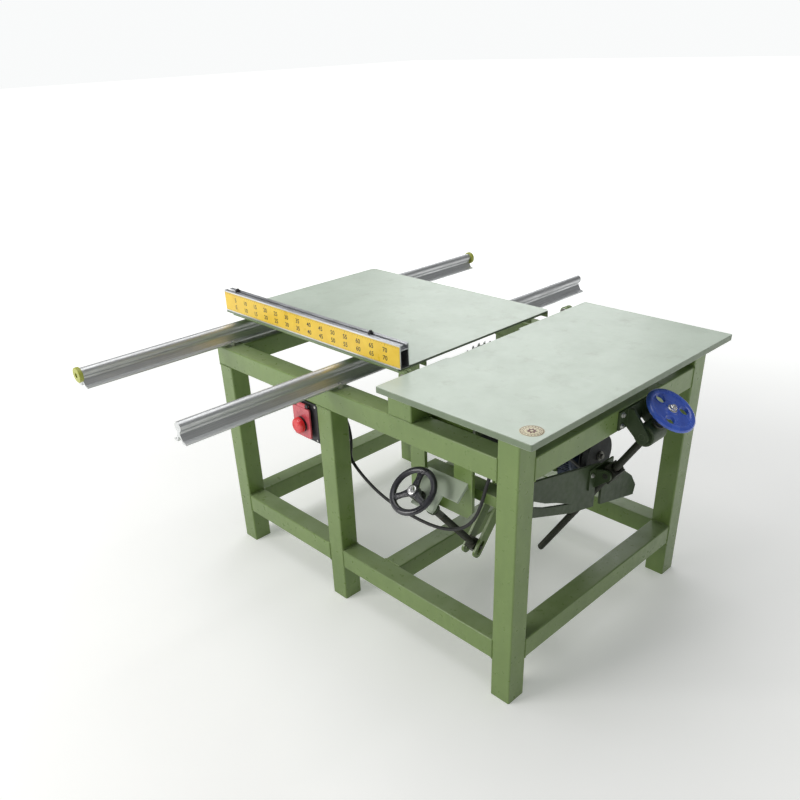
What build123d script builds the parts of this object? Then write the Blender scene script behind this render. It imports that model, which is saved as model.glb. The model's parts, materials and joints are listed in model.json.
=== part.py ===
"""Small panel saw: welded tube frame, sliding table on two rails, tilting and lifting saw unit.

Frame of the model: +X runs across the saw from the sliding table to the fixed table, +Y runs
along the slide rails and the cut, away from the operator, +Z is up. Z = 0 is the floor.
"""
from build123d import *
from math import cos, sin, radians, atan2, degrees, hypot
import os

os.makedirs("parts", exist_ok=True)

# ---------------------------------------------------------------- driving dimensions (mm)
left = -644.8            # left face of the frame, measured from the middle of the whole saw
front = -345.0           # front face of the frame
frame_width = 1160.0
frame_depth = 814.0
tube = 60.0              # square frame tube
tube_wall = 3.0
tube_corner = 4.0
middle_leg_offset = 472.0
cross_rail_offset = 652.0
bottom_rail_height = 118.0
top_rail_height = 628.0
table_height = 779.0     # both table tops

rail_offset_left = 25.0  # slide rail centres from the frame's left face
rail_offset_right = 527.0
rail_front = -435.0
rail_back = 1125.0
rail_foot_gap = 9.0
rail_foot_width = 51.0
rail_head_radius = 13.0
rail_height = 53.0

plate_thickness = 6.0    # sliding table
plate_width = 757.0
plate_depth = 614.0
plate_left_offset = -22.0
plate_front_offset = 64.0

fixed_thickness = 15.0
fixed_left_offset = 768.0
fixed_width = 456.0
fixed_front_offset = -46.0
fixed_depth = 854.0

blade_offset = 751.0     # blade plane from the frame's left face
blade_radius = 150.0
blade_thickness = 3.0
running = 0.05           # radial clearance of a shaft in its bore

# ---------------------------------------------------------------- derived places
right = left + frame_width
back = front + frame_depth
top_rail_top = top_rail_height + tube
blade_x = left + blade_offset
tilt_axis_z = table_height - fixed_thickness
arm_y = front + 560.0    # lift arm pivot
arm_z = 640.0
arbor_y = front + 346.0
arbor_z = 624.0
motor_y = front + 600.0
motor_z = 420.0
arm_x = left + 850.0     # middle of the lift arm's fork


def save(builder, name):
    """Label one finished sub-part and write it under its own name."""
    builder.part.label = name
    export_step(builder.part, f"parts/{name}.step")


def square_tubes(name, plane, length, centres):
    """Equal square tubes that start on one plane."""
    with BuildPart() as bars:
        with BuildSketch(plane):
            with Locations(*centres):
                RectangleRounded(tube, tube, tube_corner)
                Rectangle(tube - 2 * tube_wall, tube - 2 * tube_wall, mode=Mode.SUBTRACT)
        extrude(amount=length)
    save(bars, name)


def upright(height):
    """Horizontal plane at a height, with X and Y as in the model."""
    return Plane.XY.offset(height)


def facing_x(x):
    """Plane at one X: its local X is the model's Y and its local Y is the model's Z."""
    return Plane(origin=(x, 0, 0), x_dir=(0, 1, 0), z_dir=(1, 0, 0))


def facing_y(y):
    """Plane at one Y: its local X is the model's X, its local Y is Z, its normal is -Y."""
    return Plane(origin=(0, y, 0), x_dir=(1, 0, 0), z_dir=(0, -1, 0))


# ---------------------------------------------------------------- welded frame
half = tube / 2
leg_front_y = front + half
leg_back_y = back - half

for place, leg_x, height in (("left", left + half, top_rail_height),
                            ("middle", left + middle_leg_offset + half, top_rail_height),
                            ("right", right - half, tilt_axis_z)):
    square_tubes(f"legs_{place}", upright(0), height, [(leg_x, leg_front_y), (leg_x, leg_back_y)])

# Bottom rails across the front and the back, between the legs.
middle_leg_right = middle_leg_offset + tube
with BuildPart() as bottom_rails_across:
    for start, length in ((tube, middle_leg_offset - tube),
                          (middle_leg_right, frame_width - tube - middle_leg_right)):
        with BuildSketch(facing_x(left + start)):
            with Locations((leg_front_y, bottom_rail_height + half), (leg_back_y, bottom_rail_height + half)):
                RectangleRounded(tube, tube, tube_corner)
                Rectangle(tube - 2 * tube_wall, tube - 2 * tube_wall, mode=Mode.SUBTRACT)
        extrude(amount=length)
save(bottom_rails_across, "bottom_rails_across")

side_rail_length = frame_depth - 2 * tube
behind_front_rail = Plane(origin=(0, front + tube, 0), x_dir=(-1, 0, 0), z_dir=(0, 1, 0))
low_rail_z = bottom_rail_height + half
high_rail_z = top_rail_height + half
square_tubes("rails_lengthwise", behind_front_rail, side_rail_length,
             [(-(left + half), low_rail_z), (-(right - half), low_rail_z),
              (-(left + cross_rail_offset + half), low_rail_z),
              (-(left + half), high_rail_z), (-(right - half), high_rail_z)])

# Top rails across the front and the back, with holes for the slide rails' levelling bolts.
bolt_reach = 19.0        # levelling bolt from the slide rail's centre line
bolt_radius = 3.0
bolt_places = [(left + offset + side * bolt_reach, y)
               for offset in (rail_offset_left, rail_offset_right)
               for side in (-1, 1)
               for y in (leg_front_y, leg_back_y)]
with BuildPart() as top_rails_across:
    with BuildSketch(facing_x(left)):
        with Locations((leg_front_y, high_rail_z), (leg_back_y, high_rail_z)):
            RectangleRounded(tube, tube, tube_corner)
            Rectangle(tube - 2 * tube_wall, tube - 2 * tube_wall, mode=Mode.SUBTRACT)
    extrude(amount=frame_width - tube)
    with BuildSketch(upright(high_rail_z)):
        with Locations(*bolt_places):
            Circle(bolt_radius + running)
    extrude(amount=half, mode=Mode.SUBTRACT)
save(top_rails_across, "top_rails_across")

# Short posts that carry the fixed table's left side.
post_width = 80.0
post_offset = 758.0
post_height = tilt_axis_z - top_rail_top
with BuildPart() as table_posts:
    with BuildSketch(upright(top_rail_top)):
        with Locations((left + post_offset + post_width / 2, leg_front_y),
                       (left + post_offset + post_width / 2, leg_back_y)):
            RectangleRounded(post_width, tube, tube_corner)
            Rectangle(post_width - 2 * tube_wall, tube - 2 * tube_wall, mode=Mode.SUBTRACT)
    extrude(amount=post_height)
save(table_posts, "table_posts")

# ---------------------------------------------------------------- fixed table
notch_length = 290.0     # room beside the blade when it is tilted
notch_depth = 9.0
with BuildPart() as fixed_table:
    with BuildSketch(upright(tilt_axis_z)):
        with Locations((left + fixed_left_offset + fixed_width / 2,
                        front + fixed_front_offset + fixed_depth / 2)):
            RectangleRounded(fixed_width, fixed_depth, 5)
        with Locations((left + fixed_left_offset, arbor_y)):
            SlotOverall(notch_length, 2 * notch_depth, rotation=90, mode=Mode.SUBTRACT)
    extrude(amount=fixed_thickness)
    chamfer(fixed_table.faces().sort_by(Axis.Z)[-1].edges(), 1)
save(fixed_table, "fixed_table")

# ---------------------------------------------------------------- slide rails
rail_foot_z = top_rail_top + rail_foot_gap
head_z = rail_foot_z + rail_height - rail_head_radius
foot_half = rail_foot_width / 2
rail_right_side = [(5, 30), (5, 23), (14, 7), (foot_half, 4), (foot_half, 0), (12, 0), (3, 15)]
for name, offset in (("slide_rail_left", rail_offset_left), ("slide_rail_right", rail_offset_right)):
    with BuildPart() as slide_rail:
        with BuildSketch(facing_y(front + rail_back)):
            with Locations((left + offset, head_z)):
                Circle(rail_head_radius)
            with Locations((left + offset, rail_foot_z)):
                Polygon(*rail_right_side, *[(-x, z) for x, z in reversed(rail_right_side)], align=None)
        extrude(amount=rail_back - rail_front)
        with BuildSketch(upright(rail_foot_z)):
            with Locations(*[place for place in bolt_places if abs(place[0] - left - offset) < foot_half]):
                Circle(bolt_radius + running)
        extrude(amount=rail_height / 2, mode=Mode.SUBTRACT)
        # Flat seats for the bolt heads on the sloping flanges.
        with BuildSketch(upright(rail_foot_z + 4)):
            with Locations(*[place for place in bolt_places if abs(place[0] - left - offset) < foot_half]):
                Circle(6)
        extrude(amount=8, mode=Mode.SUBTRACT)
    save(slide_rail, name)

stop_thickness = 12.0
screw_seat_depth = 6.0
with BuildPart() as rail_end_stops:
    for y in (front + rail_front, front + rail_back + stop_thickness):
        with BuildSketch(facing_y(y)):
            with Locations((left + rail_offset_left, head_z - 4)):
                Circle(21)
        extrude(amount=stop_thickness)
    fillet(rail_end_stops.edges().filter_by(GeomType.CIRCLE), 2)
    # Sunk seats for the fixing screws.
    for y in (front + rail_front - stop_thickness + screw_seat_depth, front + rail_back + stop_thickness):
        with BuildSketch(facing_y(y)):
            with Locations((left + rail_offset_left, head_z - 4)):
                Circle(7)
        extrude(amount=screw_seat_depth, mode=Mode.SUBTRACT)
save(rail_end_stops, "rail_end_stops")

with BuildPart() as levelling_bolts:
    with BuildSketch(upright(top_rail_top - 12)):
        with Locations(*bolt_places):
            Circle(bolt_radius)
    extrude(amount=rail_foot_gap + 16)
    with BuildSketch(upright(rail_foot_z + 4)):
        with Locations(*bolt_places):
            RegularPolygon(5.5, 6)
    extrude(amount=4)
save(levelling_bolts, "levelling_bolts")

with BuildPart() as levelling_nuts:
    with BuildSketch(upright(top_rail_top)):
        with Locations(*bolt_places):
            RegularPolygon(6.5, 6)
            Circle(bolt_radius + running, mode=Mode.SUBTRACT)
    extrude(amount=rail_foot_gap)
save(levelling_nuts, "levelling_nuts")

# ---------------------------------------------------------------- sliding table
plate_z = table_height - plate_thickness
plate_left = left + plate_left_offset
plate_front = front + plate_front_offset
with BuildPart() as sliding_table:
    with BuildSketch(upright(plate_z)):
        with Locations((plate_left + plate_width / 2, plate_front + plate_depth / 2)):
            Rectangle(plate_width, plate_depth)
    extrude(amount=plate_thickness)
    upright_edges = sliding_table.edges().filter_by(Axis.Z)
    fillet(upright_edges.sort_by(Axis.Y)[-2:], 14)
    fillet(sliding_table.edges().filter_by(Axis.Z).sort_by(Axis.Y)[:2], 4)
save(sliding_table, "sliding_table")

beam_width = 82.0
beam_height = 16.0
beam_length = plate_width - 6
beam_wall = 4.0
beam_setback = 22.0      # the front beam lies this far behind the table's edge
with BuildPart() as table_beams:
    with BuildSketch(facing_x(plate_left)):
        for middle in (plate_front + beam_setback + beam_width / 2, plate_front + plate_depth - beam_width / 2):
            with Locations((middle, plate_z - beam_height / 2)):
                Rectangle(beam_width, beam_height)
            with Locations((middle, plate_z - beam_height / 2 - beam_wall)):
                Rectangle(beam_width - 2 * beam_wall, beam_height, mode=Mode.SUBTRACT)
    extrude(amount=beam_length)
save(table_beams, "table_beams")

# Roller saddles: pairs of slanted rollers grip the right rail, single rollers rest on the left one.
slant_roller_radius = 11.0
slant_roller_width = 8.0
flat_roller_radius = 9.5
roller_axle_radius = 4.0
roller_gap = 0.3
diagonal = 2 ** -0.5
slant_reach = (rail_head_radius + slant_roller_radius + roller_gap) * diagonal
saddle_length = 30.0
saddle_places = {"front": plate_front + 120.0, "back": plate_front + plate_depth - 120.0}
right_rail_x = left + rail_offset_right
left_rail_x = left + rail_offset_left
flat_roller_z = rail_foot_z + rail_height + flat_roller_radius + roller_gap


def slanted(side, along, up):
    """A point beside a slanted roller: 'along' its axle outwards and 'up' square to it."""
    return (side * (slant_reach + (along + up) * diagonal), head_z + slant_reach + (up - along) * diagonal)


with BuildPart() as roller_saddles:
    for middle in saddle_places.values():
        with BuildSketch(facing_y(middle + saddle_length / 2)):
            with Locations((right_rail_x, plate_z - 3.5)):
                Rectangle(92, 7)
            with Locations((right_rail_x, 0)):
                for side in (-1, 1):
                    Polygon(*[slanted(side, a, u) for a, u in ((5, -9), (10, -9), (10, 30), (5, 30))], align=None)
            with Locations((left_rail_x, plate_z - 1.5)):
                Rectangle(44, 3)
            with Locations((left_rail_x - 10, plate_z - 10), (left_rail_x + 10, plate_z - 10)):
                Rectangle(5, 20)
        extrude(amount=saddle_length)
        for side in (-1, 1):
            axle_plane = Plane(origin=(right_rail_x + side * slant_reach, middle, head_z + slant_reach),
                               x_dir=(0, 1, 0), z_dir=(side, 0, -1))
            with BuildSketch(axle_plane):
                Circle(roller_axle_radius + running)
            extrude(amount=14, mode=Mode.SUBTRACT)
        with BuildSketch(facing_x(left_rail_x - 15)):
            with Locations((middle, flat_roller_z)):
                Circle(roller_axle_radius + running)
        extrude(amount=30, mode=Mode.SUBTRACT)
save(roller_saddles, "roller_saddles")

with BuildPart() as roller_axles:
    for middle in saddle_places.values():
        for side in (-1, 1):
            axle_plane = Plane(origin=(right_rail_x + side * (slant_reach - 5 * diagonal), middle,
                                       head_z + slant_reach + 5 * diagonal),
                               x_dir=(0, 1, 0), z_dir=(side, 0, -1))
            with BuildSketch(axle_plane):
                Circle(roller_axle_radius)
            extrude(amount=19)
        with BuildSketch(facing_x(left_rail_x - 14)):
            with Locations((middle, flat_roller_z)):
                Circle(roller_axle_radius)
        extrude(amount=28)
save(roller_axles, "roller_axles")

for place, middle in saddle_places.items():
    for side, side_name in ((-1, "inner"), (1, "outer")):
        roller_plane = Plane(origin=(right_rail_x + side * (slant_reach - 4 * diagonal), middle,
                                     head_z + slant_reach + 4 * diagonal),
                             x_dir=(0, 1, 0), z_dir=(side, 0, -1))
        with BuildPart() as roller:
            with BuildSketch(roller_plane):
                Circle(slant_roller_radius)
                Circle(roller_axle_radius + running, mode=Mode.SUBTRACT)
            extrude(amount=slant_roller_width)
        save(roller, f"roller_{place}_{side_name}")
    with BuildPart() as roller:
        with BuildSketch(facing_x(left_rail_x - 4)):
            with Locations((middle, flat_roller_z)):
                Circle(flat_roller_radius)
                Circle(roller_axle_radius + running, mode=Mode.SUBTRACT)
        extrude(amount=8)
    save(roller, f"roller_{place}_left")

# ---------------------------------------------------------------- fence
fence_depth = 30.0
fence_height = 62.0
fence_wall = 2.5
fence_left = left - 18.0
fence_length = 760.0
slot_width = 8.0
with BuildPart() as fence:
    with BuildSketch(facing_x(fence_left)):
        with Locations((plate_front + fence_depth / 2, table_height + fence_height / 2)):
            RectangleRounded(fence_depth, fence_height, 1)
            Rectangle(fence_depth - 2 * fence_wall, fence_height - 2 * fence_wall, mode=Mode.SUBTRACT)
        with Locations((plate_front + fence_depth / 2, table_height + fence_height - 2)):
            Rectangle(slot_width, 6, mode=Mode.SUBTRACT)
        # Floor of the clamping slot.
        with Locations((plate_front + fence_depth / 2, table_height + fence_height - 14)):
            Rectangle(fence_depth - fence_wall, 2)
    extrude(amount=fence_length)
save(fence, "fence")

fence_top = table_height + fence_height
for name, offset in (("fence_knob_left", 52.0), ("fence_knob_right", 640.0)):
    with BuildPart() as fence_knob:
        with BuildSketch(upright(fence_top - 9)):
            with Locations((fence_left + offset, plate_front + fence_depth / 2)):
                Circle(3)
        extrude(amount=9)
        with BuildSketch(upright(fence_top)):
            with Locations((fence_left + offset, plate_front + fence_depth / 2)):
                RegularPolygon(7.5, 6)
        extrude(amount=5)
        with BuildSketch(upright(fence_top + 5)):
            with Locations((fence_left + offset, plate_front + fence_depth / 2)):
                Circle(4)
        extrude(amount=4)
    save(fence_knob, name)

# ---------------------------------------------------------------- tilt pivots on the frame
pivot_radius = 8.0
ear_radius = 14.0
bracket_thickness = 12.0
carriage_gap = 4.0
carriage_plate_thickness = 10.0
front_inner = front + tube
back_inner = back - tube

with BuildPart() as pivot_brackets:
    for y in (front_inner + bracket_thickness, back_inner):
        with BuildSketch(facing_y(y)):
            with Locations((blade_x, tilt_axis_z)):
                Circle(ear_radius)
            with BuildLine():
                Polyline((blade_x - ear_radius, tilt_axis_z), (blade_x - ear_radius, top_rail_height + 6),
                         (left + 838, top_rail_height + 6), (left + 838, tilt_axis_z - 2),
                         (blade_x + ear_radius, tilt_axis_z - 2), (blade_x + ear_radius, tilt_axis_z), close=True)
            make_face()
            with Locations((blade_x, tilt_axis_z)):
                Circle(pivot_radius, mode=Mode.SUBTRACT)
        extrude(amount=bracket_thickness)
save(pivot_brackets, "pivot_brackets")

pin_length = bracket_thickness + carriage_gap + carriage_plate_thickness + 4
with BuildPart() as pivot_pins:
    for y in (front_inner + pin_length, back_inner):
        with BuildSketch(facing_y(y)):
            with Locations((blade_x, tilt_axis_z)):
                Circle(pivot_radius)
        extrude(amount=pin_length)
save(pivot_pins, "pivot_pins")

# ---------------------------------------------------------------- tilting carriage
carriage_front = front_inner + bracket_thickness + carriage_gap
carriage_back = back_inner - bracket_thickness - carriage_gap
low = 434.0              # underside of the carriage's long beam
with BuildPart() as carriage_end_plates:
    for y in (carriage_front + carriage_plate_thickness, carriage_back):
        with BuildSketch(facing_y(y)):
            with Locations((blade_x, tilt_axis_z)):
                Circle(ear_radius)
            with BuildLine():
                Polyline((blade_x - ear_radius, tilt_axis_z), (blade_x - ear_radius, 700), (left + 755, 670),
                         (left + 755, low), (left + 950, low), (left + 965, low + 20),
                         (left + 965, 690), (left + 830, 690), (left + 790, 745), (blade_x + ear_radius, 755),
                         (blade_x + ear_radius, tilt_axis_z), close=True)
            make_face()
            with Locations((left + 855, 560)):
                Rectangle(100, 160, mode=Mode.SUBTRACT)
            with Locations((blade_x, tilt_axis_z)):
                Circle(pivot_radius + running, mode=Mode.SUBTRACT)
        extrude(amount=carriage_plate_thickness)
save(carriage_end_plates, "carriage_end_plates")

# Long beam between the end plates, and a cross bar from it to the side plate.
beam_size = 40.0
beam_start = carriage_front + carriage_plate_thickness
beam_end = carriage_back - carriage_plate_thickness
side_plate_x = left + 1074.0
side_plate_thickness = 8.0
bar_start = left + 760.0
with BuildPart() as carriage_bars:
    with BuildSketch(facing_y(beam_end)):
        with Locations((left + 780, low + beam_size / 2)):
            Rectangle(beam_size, beam_size)
            Rectangle(beam_size - 6, beam_size - 6, mode=Mode.SUBTRACT)
    extrude(amount=beam_end - beam_start)
    with BuildSketch(facing_x(bar_start)):
        with Locations((front + 137, low + beam_size + 15)):
            Rectangle(50, 30)
            Rectangle(44, 24, mode=Mode.SUBTRACT)
    extrude(amount=side_plate_x - bar_start)
save(carriage_bars, "carriage_bars")

screw_slot_top = 445.0   # slot that lets the tilt screw through the side plate
screw_slot_width = 34.0
tilt_screw_y = front + 459.0
with BuildPart() as carriage_side_plate:
    with BuildSketch(facing_x(side_plate_x)):
        with Locations((front, 0)):
            Polygon((112, 560), (196, 544), (463, 483), (554, 437), (632, 376), (660, 335), (652, 305),
                    (334, 386), (112, 470), align=None)
        with Locations((tilt_screw_y, screw_slot_top - 60)):
            Rectangle(screw_slot_width, 120, mode=Mode.SUBTRACT)
        # Long lightening hole above the plate's lower edge.
        with Locations((front, 0)):
            Polygon((168, 496), (216, 469), (264, 449), (330, 416), (265, 438), (217, 455), (168, 478),
                    align=None, mode=Mode.SUBTRACT)
    extrude(amount=side_plate_thickness)
save(carriage_side_plate, "carriage_side_plate")

# Two bars on the rear plate hold the lift arm's pivot pin.
arm_pin_radius = 12.0
arm_bar_front = arm_y - 30
with BuildPart() as arm_supports:
    for start in (left + 786, left + 890):
        with BuildSketch(facing_x(start)):
            with Locations(((arm_bar_front + beam_end) / 2, arm_z)):
                Rectangle(beam_end - arm_bar_front, 40)
            with Locations((arm_y, arm_z)):
                Circle(arm_pin_radius, mode=Mode.SUBTRACT)
        extrude(amount=25)
save(arm_supports, "arm_supports")

with BuildPart() as arm_pin:
    with BuildSketch(facing_x(left + 784)):
        with Locations((arm_y, arm_z)):
            Circle(arm_pin_radius)
    extrude(amount=133)
save(arm_pin, "arm_pin")

# ---------------------------------------------------------------- lift arm, arbor and motor
fork_thickness = 8.0
fork_faces = (arm_x - 24, arm_x + 16)    # left faces of the two arm plates
housing_radius = 35.0
motor_radius = 75.0
screw_radius = 10.0

# The lift screw starts at the hand wheel and runs down and back.
lift_start = Vector(arm_x, front - 12, 513)
lift_angle = radians(49.83)              # below the horizontal
lift_dir = Vector(0, cos(lift_angle), -sin(lift_angle))
lift_length = 400.0
nut_at_rest = 360.0
lift_nut_centre = lift_start + lift_dir * nut_at_rest
lever_angle = degrees(atan2(lift_nut_centre.Z - arm_z, lift_nut_centre.Y - arm_y))
lever_length = hypot(lift_nut_centre.Z - arm_z, lift_nut_centre.Y - arm_y)
trunnion_radius = 6.0

with BuildPart() as lift_arm:
    for x in fork_faces:
        with BuildSketch(facing_x(x)):
            with Locations((arm_y, arm_z)):
                Circle(34)
            with Locations((arbor_y, arbor_z)):
                Circle(50)
            with Locations((motor_y, motor_z)):
                Circle(motor_radius + 14)
            with BuildLine():
                Polyline((arbor_y, arbor_z + 36), (arm_y, arm_z + 30), (arm_y, arm_z - 30),
                         (arbor_y, arbor_z - 36), close=True)
            make_face()
            with BuildLine():
                Polyline((arm_y - 32, arm_z), (arm_y + 34, arm_z), (motor_y + 50, motor_z),
                         (motor_y - 60, motor_z), close=True)
            make_face()
            with Locations(Location((arm_y, arm_z), lever_angle)):
                with Locations((lever_length / 2, 0)):
                    Rectangle(lever_length, 32)
                with Locations((lever_length, 0)):
                    SlotOverall(64, 32)
                    SlotOverall(44, 2 * trunnion_radius + 2, mode=Mode.SUBTRACT)
            with Locations((arm_y, arm_z)):
                Circle(arm_pin_radius + running, mode=Mode.SUBTRACT)
            with Locations((arbor_y, arbor_z)):
                Circle(housing_radius, mode=Mode.SUBTRACT)
            with Locations((motor_y, motor_z)):
                Circle(motor_radius, mode=Mode.SUBTRACT)
        extrude(amount=fork_thickness)
    # Hub sleeve between the two plates.
    with BuildSketch(facing_x(fork_faces[0] + fork_thickness)):
        with Locations((arm_y, arm_z)):
            Circle(22)
            Circle(arm_pin_radius + running, mode=Mode.SUBTRACT)
    extrude(amount=fork_faces[1] - fork_faces[0] - fork_thickness)
save(lift_arm, "lift_arm")

arbor_radius = 15.0
housing_start = left + 772
housing_end = left + 955
with BuildPart() as arbor_housing:
    with BuildSketch(facing_x(housing_start)):
        with Locations((arbor_y, arbor_z)):
            Circle(housing_radius)
            Circle(arbor_radius + running, mode=Mode.SUBTRACT)
    extrude(amount=housing_end - housing_start)
save(arbor_housing, "arbor_housing")

blade_face = blade_x - blade_thickness / 2
flange_radius = 42.0
with BuildPart() as arbor:
    with BuildSketch(facing_x(blade_face - 24)):
        with Locations((arbor_y, arbor_z)):
            Circle(arbor_radius)
    extrude(amount=left + 996 - blade_face + 24)
    with BuildSketch(facing_x(blade_x + blade_thickness / 2)):
        with Locations((arbor_y, arbor_z)):
            Circle(flange_radius)
    extrude(amount=14)
save(arbor, "arbor")

with BuildPart() as blade_clamp:
    with BuildSketch(facing_x(blade_face)):
        with Locations((arbor_y, arbor_z)):
            Circle(flange_radius)
            Circle(arbor_radius, mode=Mode.SUBTRACT)
    extrude(amount=-8)
    with BuildSketch(facing_x(blade_face - 8)):
        with Locations((arbor_y, arbor_z)):
            RegularPolygon(23, 6)
            Circle(arbor_radius, mode=Mode.SUBTRACT)
    extrude(amount=-12)
save(blade_clamp, "blade_clamp")

tooth_count = 40
tooth_step = 360 / tooth_count
gullet_radius = blade_radius - 9
with BuildPart() as saw_blade:
    with BuildSketch(facing_x(blade_face)):
        with Locations((arbor_y, arbor_z)):
            Circle(gullet_radius)
            with PolarLocations(0, tooth_count):
                Polygon((gullet_radius - 3, -8), (gullet_radius - 3, 6),
                        (blade_radius - 3, 4), (blade_radius, 0), (gullet_radius + 1, -2), align=None)
            Circle(arbor_radius, mode=Mode.SUBTRACT)
    extrude(amount=blade_thickness)
save(saw_blade, "saw_blade")

belt_x = left + 968
belt_width = 20.0
arbor_pulley_radius = 38.0
motor_pulley_radius = 57.0
motor_shaft_radius = 14.0
for name, centre, outer, bore in (("arbor_pulley", (arbor_y, arbor_z), arbor_pulley_radius, arbor_radius),
                                  ("motor_pulley", (motor_y, motor_z), motor_pulley_radius, motor_shaft_radius)):
    with BuildPart() as pulley:
        with BuildSketch(facing_x(belt_x)):
            with Locations(centre):
                Circle(outer)
                Circle(bore, mode=Mode.SUBTRACT)
        extrude(amount=belt_width)
        for x, thickness in ((belt_x - 3, 3), (belt_x + belt_width, 3)):
            with BuildSketch(facing_x(x)):
                with Locations(centre):
                    Circle(outer + 7)
                    Circle(bore, mode=Mode.SUBTRACT)
            extrude(amount=thickness)
    save(pulley, name)

with BuildPart() as motor_shaft:
    with BuildSketch(facing_x(left + 940)):
        with Locations((motor_y, motor_z)):
            Circle(motor_shaft_radius)
    extrude(amount=56)
save(motor_shaft, "motor_shaft")

# The belt: tangent runs joined round the two pulleys.
belt_thickness = 5.0
belt_clear = 0.3
centre_distance = hypot(motor_y - arbor_y, motor_z - arbor_z)
belt_line = degrees(atan2(motor_z - arbor_z, motor_y - arbor_y))


def belt_outline(extra):
    """Closed outline round both pulleys at a distance outside them."""
    small = arbor_pulley_radius + extra
    large = motor_pulley_radius + extra
    lean = (large - small) / centre_distance
    across = (1 - lean ** 2) ** 0.5
    start_up = (-small * lean, small * across)
    end_up = (centre_distance - large * lean, large * across)
    Line(start_up, end_up)
    ThreePointArc(end_up, (centre_distance + large, 0), (end_up[0], -end_up[1]))
    Line((end_up[0], -end_up[1]), (start_up[0], -start_up[1]))
    ThreePointArc((start_up[0], -start_up[1]), (-small, 0), start_up)


belt_plane = Plane(origin=(belt_x + 2, arbor_y, arbor_z),
                   x_dir=(0, cos(radians(belt_line)), sin(radians(belt_line))), z_dir=(1, 0, 0))
with BuildPart() as drive_belt:
    with BuildSketch(belt_plane):
        with BuildLine():
            belt_outline(belt_clear + belt_thickness)
        make_face()
        with BuildLine():
            belt_outline(belt_clear)
        make_face(mode=Mode.SUBTRACT)
    extrude(amount=belt_width - 4)
save(drive_belt, "drive_belt")

motor_start = left + 810
motor_end = left + 955
with BuildPart() as motor:
    with BuildSketch(facing_x(motor_start)):
        with Locations((motor_y, motor_z)):
            Circle(motor_radius)
    extrude(amount=motor_end - motor_start)
    with BuildSketch(facing_x(left + 940)):
        with Locations((motor_y, motor_z)):
            Circle(motor_shaft_radius + running)
    extrude(amount=15, mode=Mode.SUBTRACT)
    with BuildSketch(facing_x(left + 878)):
        with Locations((motor_y + 8, motor_z - motor_radius - 14)):
            Rectangle(90, 44)
    extrude(amount=70)
save(motor, "motor")


def screw_plane(start, direction, side):
    """Plane square to a screw, with its normal along the screw."""
    return Plane(origin=start, x_dir=side, z_dir=direction)


def lead_screw(name, plane, length, collars):
    """Plain lead screw with collars that hold it in its bearing."""
    with BuildPart() as screw:
        with BuildSketch(plane):
            Circle(screw_radius)
        extrude(amount=length)
        for at in collars:
            with BuildSketch(plane.offset(at)):
                Circle(screw_radius + 6)
            extrude(amount=7)
        chamfer(screw.edges().filter_by(GeomType.CIRCLE).sort_by(Axis.Z)[0], 1.5)
    save(screw, name)


# Lift screw and its bearing on the carriage.
lift_plane = screw_plane(lift_start, lift_dir, (1, 0, 0))
bracket_at = 40.0
bracket_plate = 8.0
bracket_width = 132.0
bracket_height = 54.0
bracket_rise = 55.0      # middle of the wide plate above the screw
bracket_shift = 36.0     # and to the right of it
sleeve_end = 108.0
sleeve_radius = 15.0
with BuildPart() as lift_screw_bracket:
    with BuildSketch(lift_plane.offset(bracket_at)):
        with Locations((bracket_shift, -bracket_rise)):
            Rectangle(bracket_width, bracket_height)
        with Locations((bracket_shift - 20, -3)):
            Rectangle(72, 50)
    extrude(amount=bracket_plate)
    with BuildSketch(lift_plane.offset(bracket_at)):
        Circle(sleeve_radius)
    extrude(amount=sleeve_end - bracket_at)
    # The upper edge is ground flush with the front of the carriage.
    with BuildSketch(facing_y(carriage_front + 20)):
        with Locations((left + 886, 540)):
            Rectangle(160, 100)
    extrude(amount=20, mode=Mode.SUBTRACT)
    with BuildSketch(lift_plane.offset(bracket_at)):
        Circle(screw_radius + running)
    extrude(amount=sleeve_end - bracket_at, mode=Mode.SUBTRACT)
save(lift_screw_bracket, "lift_screw_bracket")

lead_screw("lift_screw", lift_plane.offset(6), lift_length - 6, (bracket_at - 15, sleeve_end - 5))

nut_size = 34.0
with BuildPart() as lift_nut:
    with BuildSketch(lift_plane.offset(nut_at_rest - 20)):
        Rectangle(30, nut_size)
    extrude(amount=40)
    with BuildSketch(facing_x(arm_x - 26)):
        with Locations((lift_nut_centre.Y, lift_nut_centre.Z)):
            Circle(trunnion_radius)
    extrude(amount=52)
    with BuildSketch(lift_plane.offset(nut_at_rest - 40)):
        Circle(screw_radius + running)
    extrude(amount=80, mode=Mode.SUBTRACT)
save(lift_nut, "lift_nut")

# ---------------------------------------------------------------- tilt screw on the right side
swivel = Vector(left + 1209, tilt_screw_y, 618)
tilt_nut_centre = Vector(left + 1117, tilt_screw_y, 471)
tilt_dir = (tilt_nut_centre - swivel).normalized()
wheel_reach = 85.0
tilt_start = swivel - tilt_dir * wheel_reach
tilt_length = wheel_reach + 571
tilt_plane = screw_plane(tilt_start, tilt_dir, (0, 1, 0))
swivel_radius = 28.0
swivel_width = 60.0
trunnion_pin = 8.0
ear_gap = 2.0
ear_thickness = 8.0

with BuildPart() as tilt_screw_bracket:
    with BuildSketch(facing_x(right)):
        with Locations((swivel.Y, top_rail_height + half)):
            Rectangle(150, 48)
    extrude(amount=6)
    for y in (swivel.Y - swivel_width / 2 - ear_gap, swivel.Y + swivel_width / 2 + ear_gap + ear_thickness):
        with BuildSketch(facing_y(y)):
            with Locations((swivel.X, swivel.Z)):
                Circle(18)
            with BuildLine():
                Polyline((right + 1, 636), (right + 1, 682), (right + 20, 682),
                         (swivel.X + 14, swivel.Z + 12), (swivel.X - 10, swivel.Z - 15), close=True)
            make_face()
            with Locations((swivel.X, swivel.Z)):
                Circle(trunnion_pin + running, mode=Mode.SUBTRACT)
        extrude(amount=ear_thickness)
save(tilt_screw_bracket, "tilt_screw_bracket")

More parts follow.
